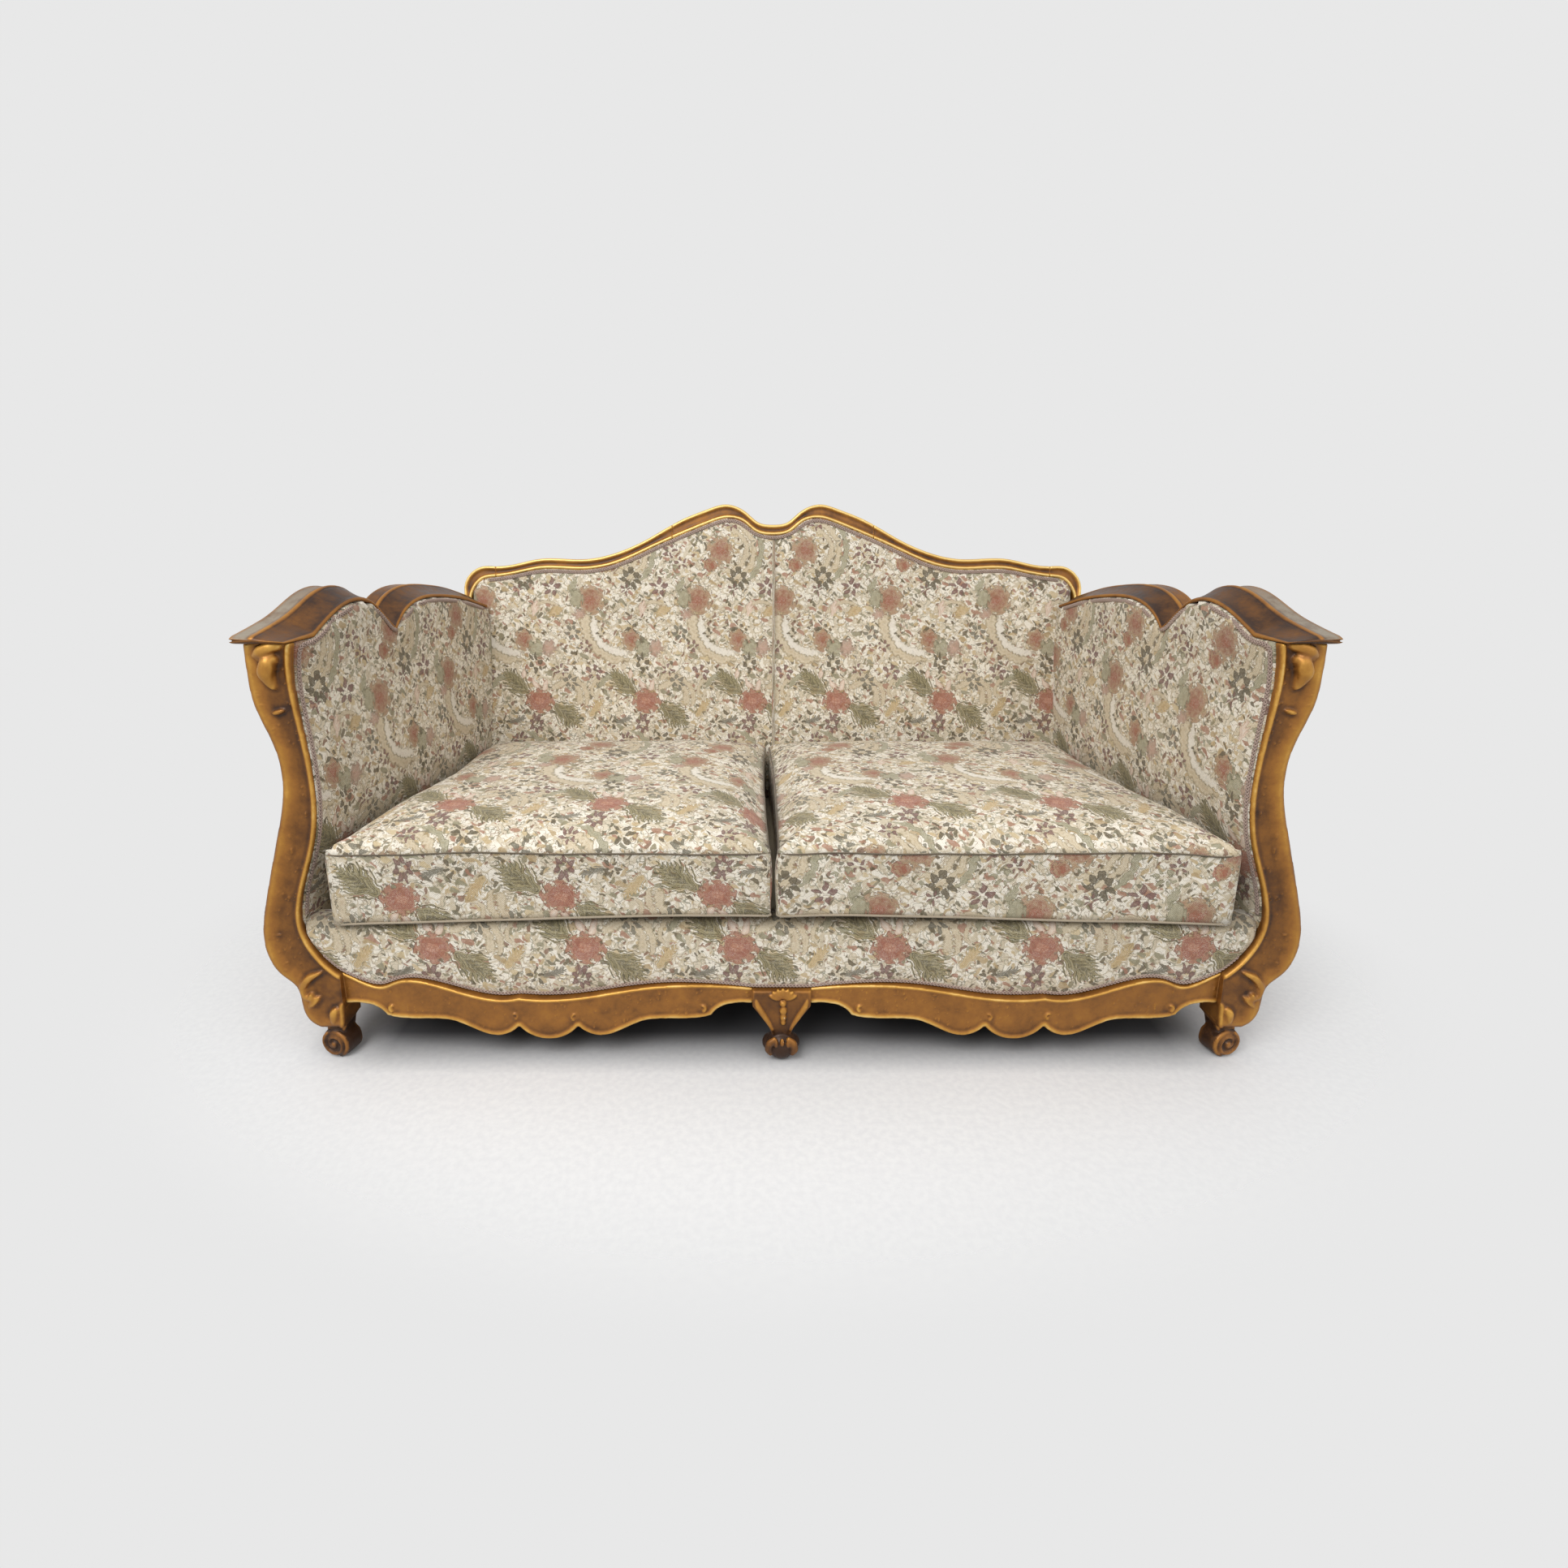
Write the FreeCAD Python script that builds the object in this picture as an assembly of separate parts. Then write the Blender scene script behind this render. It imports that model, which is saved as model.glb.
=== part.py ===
import FreeCAD, Part
import math
import os
from FreeCAD import Vector

# Two-seat cabriole sofa: giltwood show frame, sprung and upholstered seat, two loose cushions.
# Millimetres. Seen from the front, +X is to the right, +Y to the back and +Z up, and left and
# right in the names are as seen from there. The origin is the middle of the footprint, on the floor.

os.makedirs("parts", exist_ok=True)

# Driving dimensions of the whole sofa
belly_width = 1814.0        # across the swelling of the two front posts
overall_depth = 880.0       # centre foot to the back of the crest
crest_height = 988.0        # floor to the two humps of the crest
arm_tip_height = 767.0      # floor to the lip at the front of the arm
seat_height = 267.0         # floor to the sprung deck, under the cushions
back_rake = 9.0             # degrees, lean of the back

# Show frame
post_depth = 60.0           # front post, front to back
front_setback = 22.0        # front post face behind the foremost point of the feet
basket_rise = 37.0          # straight part of the front post starts this far above the deck
volute_radius = 28.0        # scroll foot
volute_width = 40.0
volute_turn = 15.0          # degrees that its spiral face is turned outwards
ball_radius = 27.0          # centre foot
foot_flat = 2.0             # ground off under each rounded foot
apron_depth = 26.0          # carved front rail, front to back at its ends
apron_bow = 15.0            # how far each apron swells forward
centre_block = 104.0        # width of the carved block over the centre foot
arm_moulding = 29.0         # height of the arm rail's timber
lip_thickness = 12.0        # projecting tip of the arm rail
rail_inset = 35.0           # outside of the arm rail at the front, in from the belly
back_inset = 137.0          # outside of the back, in from the belly
crest_front = 8.0           # show moulding stands this far in front of the back's plane
crest_back = 72.0           # and reaches this far behind it
back_frame_near = 16.0      # inner timbers of the back, behind the back's plane
back_frame_far = 60.0
tongue_height = 40.0        # plain part of the crest behind the padding
crest_joint = 250.0         # glue joints of the crest from the middle
corner_joint = 80.0         # and from the outside of the back
back_post_width = 70.0
arm_line_inset = 120.0      # inside face of the arm at the front, in from the belly
arm_convergence = 0.112     # how much the arms close in, per millimetre towards the back

# Seat frame
rail_bottom = 112.0
deck_over_rails = 32.0      # top of the deck above the seat rails
front_rail_thickness = 30.0
side_rail_thickness = 32.0
brace_width = 40.0
tack_rail_height = 40.0
rear_rail_lift = 8.0        # rear seat rail above the underside of the others
web_width = 55.0            # jute bands
web_thickness = 1.1
back_web_heights = [340.0, 450.0, 560.0, 660.0]
back_web_columns = [130.0, 330.0, 530.0]
spring_columns_right = [105.0, 330.0, 555.0]
spring_rows = [-255.0, -65.0, 125.0]
spring_radius = 40.0
spring_wire = 2.0           # radius of the wire
spring_turns = 5
dowel_radius = 5.0
dowel_length = 60.0
screw_radius = 2.5
screw_head = 3.0
head_recess = 1.0           # how deep the heads are let into the blocks
block_leg = 70.0            # leg of the triangular corner blocks
block_height = 40.0

# Upholstery
pad_thickness = 24.0        # inside of the arms
back_pad_front = 8.0
border_thickness = 44.0     # stuffed front edge, front to back
border_round = 18.0
gimp_width = 11.0
gimp_thickness = 2.0
cushion_boxing = 128.0      # height of the cushion's side wall
cushion_crown = 46.0        # how far its middle rises over the boxing
cushion_split = -15.0       # where the two cushions meet
cushion_overhang = 12.0     # cushions stand in front of the posts' face
drawn_in = 7.0              # how far each boxing pulls in between its corners
cover_thickness = 6.0       # outside panels: cloth over board
dust_thickness = 1.0        # cambric under the seat
outside_low = 178.0         # lower edge of the outside of the arms

# Clearances
seam_gap = 0.5              # cloth beside timber
glue_gap = 0.1              # round a dowel
rest_gap = 0.3              # cushion over the deck
cushion_gap = 2.0           # between the two cushions
cushion_side_gap = 6.0      # cushion beside an arm
cushion_back_gap = 5.0

belly_half = belly_width / 2
front_limit = -overall_depth / 2
post_front = front_limit + front_setback
post_back = post_front + post_depth
lining_front = post_front + 14.0
back_half = belly_half - back_inset
joint_x = belly_half - 127.0            # glue joint of post and apron
block_half = centre_block / 2
apron_front = post_front + 4.0          # at its ends
apron_back = apron_front + apron_depth
lip_under = arm_tip_height - lip_thickness
rail_top = seat_height - deck_over_rails
basket_line = seat_height + basket_rise
back_rail_bottom = seat_height - 5.0    # lower rail of the back, which the back's cover is tacked to
back_rail_top = back_rail_bottom + 50.0
knee_z = rail_bottom + 28.0              # where the rear legs start to splay
deck_thickness = 21.0
rake = math.radians(back_rake)
pivot_z = 500.0                         # height at which the back's plane is placed
crest_rise = (crest_height - pivot_z - crest_front * math.sin(rake)) / math.cos(rake)
back_plane_y = overall_depth / 2 - crest_back * math.cos(rake) - crest_rise * math.sin(rake)


# Small tools

def spline(points):
    curve = Part.BSplineCurve()
    curve.interpolate([Vector(*p) for p in points])
    return curve.toShape()


def polyline(points):
    return [Part.makeLine(Vector(*a), Vector(*b)) for a, b in zip(points, points[1:])]


def prism(edges, direction):
    wire = Part.Wire(Part.__sortEdges__(edges))
    return Part.Face(wire).extrude(Vector(*direction))


def box(x, y, z):
    return Part.makeBox(x[1] - x[0], y[1] - y[0], z[1] - z[0], Vector(x[0], y[0], z[0]))


def plan_prism(points, z):
    corners = [(px, py, z[0]) for px, py in points]
    return prism(polyline(corners + corners[:1]), (0, 0, z[1] - z[0]))


def cylinder(start, direction, radius, length):
    return Part.makeCylinder(radius, length, Vector(*start), Vector(*direction))


def mirrored(shape):
    return shape.mirror(Vector(0, 0, 0), Vector(1, 0, 0))


def lean(shape):
    """Turn a piece that is drawn upright, with y = 0 on the back's plane, to the back's rake."""
    turned = shape.copy()
    turned.rotate(Vector(0, 0, pivot_z), Vector(1, 0, 0), -back_rake)
    turned.translate(Vector(0, back_plane_y, 0))
    return turned


def leaned_height(z):
    """Height along the leaning back that ends up z above the floor."""
    return pivot_z + (z - pivot_z) / math.cos(rake)


def back_y(z, depth=0.0):
    """Where the back's plane, or one that lies deeper, passes at height z."""
    return back_plane_y + (z - pivot_z) * math.tan(rake) + depth / math.cos(rake)


def arm_line(y):
    """Inside face of the right arm, seen in plan, above the basket curve."""
    return belly_half - arm_line_inset - arm_convergence * (y - post_front)


def behind_back(depth):
    """Everything behind the plane that lies depth behind the back's plane."""
    wide = belly_width
    return lean(box((-wide, wide), (depth, overall_depth), (-crest_height, 2 * crest_height)))


# Outlines

def post_height(share):
    """Heights above the basket curve, as a share of the way to the underside of the lip."""
    return basket_line + share * (lip_under - basket_line)


post_outer = [  # inset from the belly, height
    (81, 62), (53, 108), (48, 141), (24, 166), (0, 226), (11, basket_line),
    (45, post_height(0.265)), (67, post_height(0.475)), (64, post_height(0.61)),
    (43, post_height(0.79)), (42, post_height(0.88)), (44, lip_under)]

basket_swell = 69.0                     # widest point of the opening, in from the belly
post_inner = [
    (127, 166), (92, 203), (basket_swell, back_rail_bottom), (73, basket_line), (107, post_height(0.235)),
    (118, post_height(0.37)), (120, post_height(0.53)), (116, post_height(0.70)),
    (113, post_height(0.87)), (121, lip_under)]


def post_side(points, y, shift=0.0, lowest=0.0, highest=None):
    """One side of the post's front view as points in the plane y; highest carries it straight up."""
    chosen = [(belly_half - inset + shift, y, z) for inset, z in points if z >= lowest]
    if highest:
        chosen.append((chosen[-1][0], y, highest))
    return chosen


apron_middle = (block_half + joint_x) / 2
apron_half = (joint_x - block_half) / 2
apron_lobe = 42.0                       # lowest point, the lobe in the middle
apron_scallop = [  # share of the half length, height; the outline is the same both ways
    (0.145, 68), (0.19, 55), (0.265, 48.5), (0.36, 60), (0.47, 77), (0.63, 79), (0.80, 84)]
apron_arch = [(0.80, 84), (0.84, 99), (0.91, 106), (1.0, 105)]
apron_top_inner = [(-1.0, 136), (-0.81, 144), (-0.5, 144), (-0.14, 124.5), (0.14, 124.5)]
apron_top_outer = [(0.14, 124.5), (0.5, 144), (0.75, 150), (0.80, 142), (0.92, 152), (1.0, 166)]


def apron_x(share):
    return apron_middle + share * apron_half


def apron_top(y, shift=0.0):
    """Upper edge of the right apron, two curves that meet over its middle lobe."""
    curves = []
    for points in (apron_top_inner, apron_top_outer):
        curves.append(spline([(apron_x(s) - shift, y, z + shift) for s, z in points]))
    return curves


crest_outer = [  # share of the half width, drop from the humps
    (0.0, 49), (0.044, 44), (0.082, 21), (0.155, 0), (0.205, 10), (0.292, 36), (0.399, 81),
    (0.504, 116), (0.61, 132), (0.752, 131), (0.822, 142), (0.892, 149), (0.942, 150),
    (0.974, 163), (0.995, 185), (1.0, 211)]
crest_inner = [
    (0.0, 75), (0.058, 66), (0.096, 43), (0.149, 34), (0.201, 45), (0.267, 65), (0.397, 108),
    (0.504, 143), (0.612, 158), (0.755, 157), (0.828, 168), (0.899, 176), (0.938, 182),
    (0.963, 201), (0.976, 228)]
crest_foot = crest_height - 253.0       # where the corner pieces stand on the back posts


def crest_curve(points, y, shift=0.0):
    """A curve of the crest over its whole width, drawn upright; shift moves it inwards."""
    right = []
    for share, drop in points:
        inwards = shift if share > 0.9 else 0.0
        right.append((share * back_half - inwards, y, leaned_height(crest_height - drop) - shift))
    left = [(-x, depth, z) for x, depth, z in right[:0:-1]]
    return spline(left + right), right[-1]


def back_outline(y, depth, bottom, shift):
    """The upholstered field of the back, inside the crest and down to bottom."""
    curve, end = crest_curve(crest_inner, y, shift)
    x, _, z = end
    low = leaned_height(bottom)
    sides = polyline([(x, y, z), (x, y, low), (-x, y, low), (-x, y, z)])
    return prism([curve] + sides, (0, depth, 0))


arm_tip_y = front_limit + 2.0
arm_end_y = back_y(arm_tip_height, 25.0)
arm_front_curve = [  # share of the arm's length, rise over the tip
    (0.0, 0), (0.061, 13), (0.125, 30), (0.202, 57), (0.268, 65.5), (0.322, 55), (0.373, 23), (0.412, -2)]
arm_rear_curve = [
    (0.412, -2), (0.425, 9), (0.448, 24), (0.494, 41), (0.57, 50), (0.67, 45), (0.767, 34),
    (0.867, 15), (1.0, -12)]


def arm_points(points, drop=0.0):
    length = arm_end_y - arm_tip_y
    return [(0, arm_tip_y + share * length, arm_tip_height + rise - drop) for share, rise in points]


def arm_underside(shift=0.0):
    """Lower edge of the arm rail's timber, from the back of the post to the back."""
    rising = [(0, post_back, lip_under)] + arm_points(arm_front_curve, arm_moulding)[3:]
    falling = arm_points(arm_rear_curve, arm_moulding)
    return [spline([(x, y, z - shift) for x, y, z in part]) for part in (rising, falling)]


def arm_field(shift, front, bottom):
    """Side view of what lies under the arm rail, as a prism right across the sofa's right half."""
    end_z = arm_points(arm_rear_curve, arm_moulding)[-1][2] - shift
    top = lip_under - shift
    edges = arm_underside(shift)
    edges += polyline([(0, arm_end_y, end_z), (0, arm_end_y, bottom), (0, front + shift, bottom),
                       (0, front + shift, top), (0, post_back, top)])
    return prism(edges, (belly_width, 0, 0))


def band_between(front, rear, thickness):
    """A skin between a curve near the post and one near the back, thickness towards +X."""
    wires = []
    for points in (front, rear):
        outer = [(x + thickness, y, z) for x, y, z in points]
        wires.append(Part.Wire([spline(points), Part.makeLine(Vector(*points[-1]), Vector(*outer[-1])),
                                spline(outer[::-1]), Part.makeLine(Vector(*outer[0]), Vector(*points[0]))]))
    return Part.makeLoft(wires, True, True)


arm_ceiling = arm_tip_height + 75.0
pad_bottom = rail_top + 5.0


def lining_x(inset, y):
    """Inside face of the arm at depth y, where the post's edge is that far in from the belly."""
    front_x = belly_half - inset
    slope = (arm_line(arm_end_y) - front_x) / (arm_end_y - lining_front)
    return front_x + slope * (y - lining_front)


def arm_lining(shift, thickness):
    """The inside of the arm: it follows the post's curve in front and runs straight at the back."""
    front = post_side(post_inner, lining_front, shift, pad_bottom, arm_ceiling)
    front[0] = (front[0][0], lining_front, pad_bottom)
    rear_x = arm_line(arm_end_y) + shift
    rear = [(rear_x, arm_end_y, z) for _, _, z in front]
    return band_between(front, rear, thickness)


# Dowels, drawn where they lie; the timbers are bored round them

def dowels_along(axis, places, length=dowel_length):
    pins = []
    holes = []
    for x, y, z in places:
        start = [x, y, z]
        start["XYZ".index(axis)] -= length / 2
        direction = [float(axis == letter) for letter in "XYZ"]
        pins.append(cylinder(start, direction, dowel_radius, length))
        start["XYZ".index(axis)] -= 1.0
        holes.append(cylinder(start, direction, dowel_radius + glue_gap, length + 2.0))
    return pins, holes


apron_mid_y = post_front + 18.0
side_rail_x = arm_line(post_back) + 7.0 + side_rail_thickness / 2
front_dowels = dowels_along("X", [(joint_x, apron_mid_y, z) for z in (122.0, 148.0)]
                            + [(block_half, apron_mid_y, z) for z in (113.0, 128.0)], 40.0)
side_dowels = dowels_along("Y", [(side_rail_x, post_back, z) for z in (150.0, 180.0)])
arm_dowels = dowels_along("Z", [(belly_half - 72.0, post_back - 22.0, lip_under)], 20.0)
crest_dowel_z = leaned_height(crest_height - 85.0)
corner_dowel_z = leaned_height(crest_height - 163.0)
crest_dowels = dowels_along("X", [(crest_joint, 38.0, crest_dowel_z),
                                  (back_half - corner_joint, 38.0, corner_dowel_z)], 50.0)
rear_dowels = dowels_along("X", [(back_half - back_post_width, 38.0, leaned_height(z))
                                 for z in (150.0, 195.0, 287.0)])
right_pins = front_dowels[0] + side_dowels[0] + arm_dowels[0]
right_pins += [lean(pin) for pin in crest_dowels[0] + rear_dowels[0]]
right_holes = front_dowels[1] + side_dowels[1] + arm_dowels[1]
right_holes += [lean(hole) for hole in crest_dowels[1] + rear_dowels[1]]
dowel_pins = right_pins + [mirrored(pin) for pin in right_pins]
dowel_holes = Part.makeCompound(right_holes + [mirrored(hole) for hole in right_holes])


# Show frame

def front_post():
    outer = post_side(post_outer, post_front - 20)
    inner = post_side(post_inner, post_front - 20)
    bottom = (belly_half - 123.0, post_front - 20, post_outer[0][1])
    joint_low = (joint_x, post_front - 20, 105.0)
    edges = [spline(outer), spline(inner)]
    edges += polyline([outer[-1], inner[-1]]) + polyline([inner[0], joint_low, bottom, outer[0]])
    front_view = prism(edges, (0, post_depth + 40, 0))
    swell = [(0, post_front - 4, 0), (0, post_front - 8, 141), (0, post_front - 4, 226),
             (0, post_front + 4, post_height(0.16)), (0, post_front + 6, post_height(0.48)),
             (0, post_front, post_height(0.75)), (0, post_front - 6, lip_under)]
    side_edges = [spline(swell)]
    side_edges += polyline([swell[-1], (0, post_back, lip_under), (0, post_back, 0), swell[0]])
    body = front_view.common(prism(side_edges, (belly_width, 0, 0)))
    body = body.cut(arm_lining(-1.0, pad_thickness + 1.0 + seam_gap))
    return body.fuse([ankle(), volute()]).removeSplitter()


def ground_flat(foot):
    return foot.cut(box((-belly_width, belly_width), (-overall_depth, 0), (-100, 0)))


def volute():
    """Scroll foot: a short drum on its side, its spiral face to the front and a little outwards."""
    turn = math.radians(volute_turn)
    axis = Vector(math.sin(turn), -math.cos(turn), 0)
    centre = Vector(belly_half - 105.0, post_front + 17.0, volute_radius - foot_flat)
    start = centre - axis * (volute_width / 2)
    drum = Part.makeCylinder(volute_radius, volute_width, start, axis)
    return ground_flat(drum)


def ankle():
    upper = rectangle(belly_half - 102.0, post_front + 29.0, 38.0, 50.0, 72.0)
    lower = rectangle(belly_half - 105.0, post_front + 17.0, 30.0, 36.0, volute_radius)
    return Part.makeLoft([lower, upper], True, True)


def rectangle(x, y, width, depth, z):
    corners = [(x - width / 2, y - depth / 2, z), (x + width / 2, y - depth / 2, z),
               (x + width / 2, y + depth / 2, z), (x - width / 2, y + depth / 2, z)]
    return Part.Wire(polyline(corners + corners[:1]))


def centre_leg():
    """Carved block between the aprons, tapering to an ankle over a ball with two side lobes."""
    top = apron_top_inner[0][1]
    shoulder = apron_arch[-1][1]
    front = post_front - 6.0
    outline = [(-block_half, front, top), (-block_half, front, shoulder), (-24, front, 66), (-15, front, 44),
               (-15, front, 24), (15, front, 24), (15, front, 44), (24, front, 66),
               (block_half, front, shoulder), (block_half, front, top)]
    block = prism(polyline(outline + outline[:1]), (0, apron_back - front, 0))
    ball_y = front_limit + ball_radius
    centre = ball_radius - foot_flat
    pieces = [Part.makeSphere(ball_radius, Vector(0, ball_y, centre))]
    for side in (-1, 1):
        pieces.append(Part.makeSphere(17.0, Vector(side * 17.0, ball_y + 8.0, 22.0)))
    leg = block.fuse(pieces).removeSplitter()
    return ground_flat(leg)


def apron():
    """Carved front rail of one side, with scalloped lower edge and a gently bowed face."""
    y = post_front - 30
    lower = [Part.Arc(Vector(apron_x(-apron_scallop[0][0]), y, apron_scallop[0][1]),
                      Vector(apron_middle, y, apron_lobe),
                      Vector(apron_x(apron_scallop[0][0]), y, apron_scallop[0][1])).toShape()]
    for sign in (-1, 1):
        for points in (apron_scallop, apron_arch):
            lower.append(spline([(apron_x(sign * s), y, z) for s, z in points]))
    end_z = apron_arch[-1][1]
    ends = polyline([(apron_x(-1), y, end_z), (apron_x(-1), y, apron_top_inner[0][1])])
    ends += polyline([(apron_x(1), y, end_z), (apron_x(1), y, apron_top_outer[-1][1])])
    view = prism(lower + ends + apron_top(y), (0, 80, 0))
    face = Part.Arc(Vector(block_half, apron_front, 0), Vector(apron_middle, apron_front - apron_bow, 0),
                    Vector(joint_x, apron_front, 0)).toShape()
    plan = [face] + polyline([(joint_x, apron_front, 0), (joint_x, apron_back, 0),
                              (block_half, apron_back, 0), (block_half, apron_front, 0)])
    return view.common(prism(plan, (0, 0, 300)))


def arm_rail():
    """Top of the arm: a thin lip over the post, then a rolling moulding with a notch."""
    start = (0, arm_tip_y, arm_tip_height)
    top = [spline(arm_points(arm_front_curve)), spline(arm_points(arm_rear_curve))]
    end_top = arm_points(arm_rear_curve)[-1]
    end_low = arm_points(arm_rear_curve, arm_moulding)[-1]
    edges = top + arm_underside() + polyline([end_top, end_low])
    edges += polyline([(0, post_back, lip_under), (0, arm_tip_y, lip_under), start])
    view = prism(edges, (belly_width, 0, 0))
    outer_end = back_half + 6.0
    plan = [(arm_line(arm_tip_y), arm_tip_y), (belly_half - rail_inset, arm_tip_y),
            (outer_end, arm_end_y), (arm_line(arm_end_y), arm_end_y)]
    return view.common(plan_prism(plan, (0, 2 * crest_height))).cut(behind_back(back_frame_near))


def crest():
    """The whole crest drawn upright: show moulding in front, plain tongue behind the padding."""
    outer, outer_end = crest_curve(crest_outer, -crest_front)
    inner, inner_end = crest_curve(crest_inner, -crest_front)
    foot = leaned_height(crest_foot)
    edges = [outer, inner]
    for side in (-1, 1):
        low_outer = (side * outer_end[0], -crest_front, foot)
        low_inner = (side * inner_end[0], -crest_front, foot)
        edges += polyline([(side * outer_end[0], -crest_front, outer_end[2]), low_outer, low_inner,
                           (side * inner_end[0], -crest_front, inner_end[2])])
    moulding = prism(edges, (0, crest_front + crest_back, 0))
    upper, end = crest_curve(crest_inner, back_frame_near)
    lower, _ = crest_curve(crest_inner, back_frame_near)
    lower.translate(Vector(0, 0, -tongue_height))
    caps = []
    for side in (-1, 1):
        caps += polyline([(side * end[0], back_frame_near, end[2]),
                          (side * end[0], back_frame_near, end[2] - tongue_height)])
    tongue = prism([upper, lower] + caps, (0, back_frame_far - back_frame_near, 0))
    inside = back_half - corner_joint
    tongue = tongue.common(box((-inside, inside), (0, 100), (0, 2 * crest_height)))
    return moulding.fuse(tongue)


def between(shape, low, high):
    return shape.common(box((low, high), (-200, 200), (0, 2 * crest_height)))


def back_post(corner):
    """Rear leg and back post in one piece, raked above the seat and splayed below it."""
    inside = back_half - back_post_width
    low = leaned_height(rail_bottom + 20.0)
    high = leaned_height(crest_height - 178.0)
    post = box((inside, back_half), (back_frame_near, back_frame_far), (low, high))
    field = back_outline(back_frame_near, back_frame_far - back_frame_near, 0.0, 0.0)
    below = box((inside, back_half), (back_frame_near, back_frame_far), (low, leaned_height(crest_foot)))
    post = lean(post.common(field.fuse(below)))
    near = back_y(knee_z, back_frame_near)
    far = back_y(knee_z, back_frame_far)
    middle = (near + far) / 2
    upper = rectangle(back_half - back_post_width / 2, middle, back_post_width, far - near, knee_z)
    lower = rectangle(back_half - 40.0, middle + 24.0, 50.0, 44.0, 0.0)
    leg = Part.makeLoft([lower, upper], True, True)
    return post.fuse(leg).removeSplitter().cut(corner)


# Seat frame

def side_strip(inside, outside, y, z):
    """A straight timber that runs along the right arm, between two offsets from the arm line."""
    plan = [(arm_line(y[0]) + inside, y[0]), (arm_line(y[0]) + outside, y[0]),
            (arm_line(y[1]) + outside, y[1]), (arm_line(y[1]) + inside, y[1])]
    return plan_prism(plan, z)


rail_z = (rail_bottom, rail_top)
far_back = back_y(arm_tip_height, 100.0)


def side_seat_rail():
    strip = side_strip(7.0, 7.0 + side_rail_thickness, (post_back, far_back), rail_z)
    return strip.cut(behind_back(back_frame_near))


def side_apron():
    """Gilded side rail: it follows the post's knee in front and runs straight to the back post."""
    heights = (100.0, 141.0, 166.0, 176.0)
    bulge = (belly_half - 51.0, belly_half - 48.0, belly_half - 25.0, belly_half - 18.0)
    wires = []
    for y, xs, inner_x in ((post_back, bulge, belly_half - 90.0),
                           (far_back, [back_half + 6.0] * 4, back_half - 60.0)):
        outer = [(x, y, z) for x, z in zip(xs, heights)]
        corners = outer + [(inner_x, y, heights[-1]), (inner_x, y, heights[0])]
        wires.append(Part.Wire(polyline(corners + corners[:1])))
    rail = Part.makeLoft(wires, True, True)
    inside = side_strip(-200.0, 7.0 + side_rail_thickness, (post_back - 50, far_back + 50), (0, 400))
    return rail.cut(inside).cut(behind_back(back_frame_near))


def arm_tack_rail():
    """Lower rail of the arm, behind the lining, from the front post to the back post."""
    behind = pad_thickness + seam_gap
    near_x = lining_x(basket_swell, post_back) + behind
    far_x = lining_x(basket_swell, far_back) + behind
    plan = [(near_x, post_back), (near_x + 20.0, post_back), (far_x + 20.0, far_back), (far_x, far_back)]
    z = (pad_bottom + 22.0, pad_bottom + 22.0 + tack_rail_height)
    return plan_prism(plan, z).cut(behind_back(back_frame_near))


def corner_block(front):
    """Glued and screwed triangular block, with the two screws that hold it."""
    z0 = rail_bottom + 15.0
    y = apron_back + front_rail_thickness if front else back_y(z0, back_frame_near)
    step = 1 if front else -1
    y -= 0 if front else 1.0
    x = arm_line(y) + 7.0
    points = [(x, y), (x - block_leg, y), (arm_line(y + step * block_leg) + 7.0, y + step * block_leg)]
    block = plan_prism(points, (z0, z0 + block_height))
    outwards = Vector(1, -step, 0).normalize()
    middle = Vector((points[1][0] + points[2][0]) / 2, (points[1][1] + points[2][1]) / 2, 0)
    screws = []
    holes = []
    for z in (z0 + 12.0, z0 + block_height - 12.0):
        start = Vector(middle.x, middle.y, z)
        head = start - outwards * (screw_head - head_recess)
        shank = Part.makeCylinder(screw_radius, 40.0, start, outwards)
        cap = Part.makeCylinder(2 * screw_radius, screw_head, head, outwards)
        screws.append(shank.fuse(cap).removeSplitter())
        holes.append(Part.makeCylinder(screw_radius + glue_gap, 41.0, start, outwards))
        sink = start - outwards * screw_head
        holes.append(Part.makeCylinder(2 * screw_radius + glue_gap, screw_head + head_recess, sink, outwards))
    return block.cut(Part.makeCompound(holes)), screws


def biarc(start, start_tangent, end, end_tangent):
    """Two arcs from start to end that meet smoothly and keep both tangents."""
    span = end - start
    both = start_tangent + end_tangent
    spread = 2 * (1 - start_tangent.dot(end_tangent))
    along = span.dot(both)
    reach = (math.sqrt(along * along + spread * span.dot(span)) - along) / spread
    first = start + start_tangent * reach
    second = end - end_tangent * reach
    joint = (first + second) / 2
    return [arc_with_corner(start, first, joint), arc_with_corner(joint, second, end)]


def arc_with_corner(start, corner, end):
    """Arc from start to end, whose end tangents meet at corner."""
    chord_middle = (start + end) / 2
    half_chord = (end - start).Length / 2
    height = (corner - chord_middle).Length
    quarter_turn = math.atan2(height, half_chord) / 2
    middle = chord_middle + (corner - chord_middle) * (half_chord * math.tan(quarter_turn) / height)
    return Part.Arc(start, middle, end).toShape()


def helix_point(angle, rise):
    return Vector(spring_radius * math.cos(angle), spring_radius * math.sin(angle), rise * angle)


def helix_tangent(angle, rise):
    return Vector(-spring_radius * math.sin(angle), spring_radius * math.cos(angle), rise).normalize()


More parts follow.
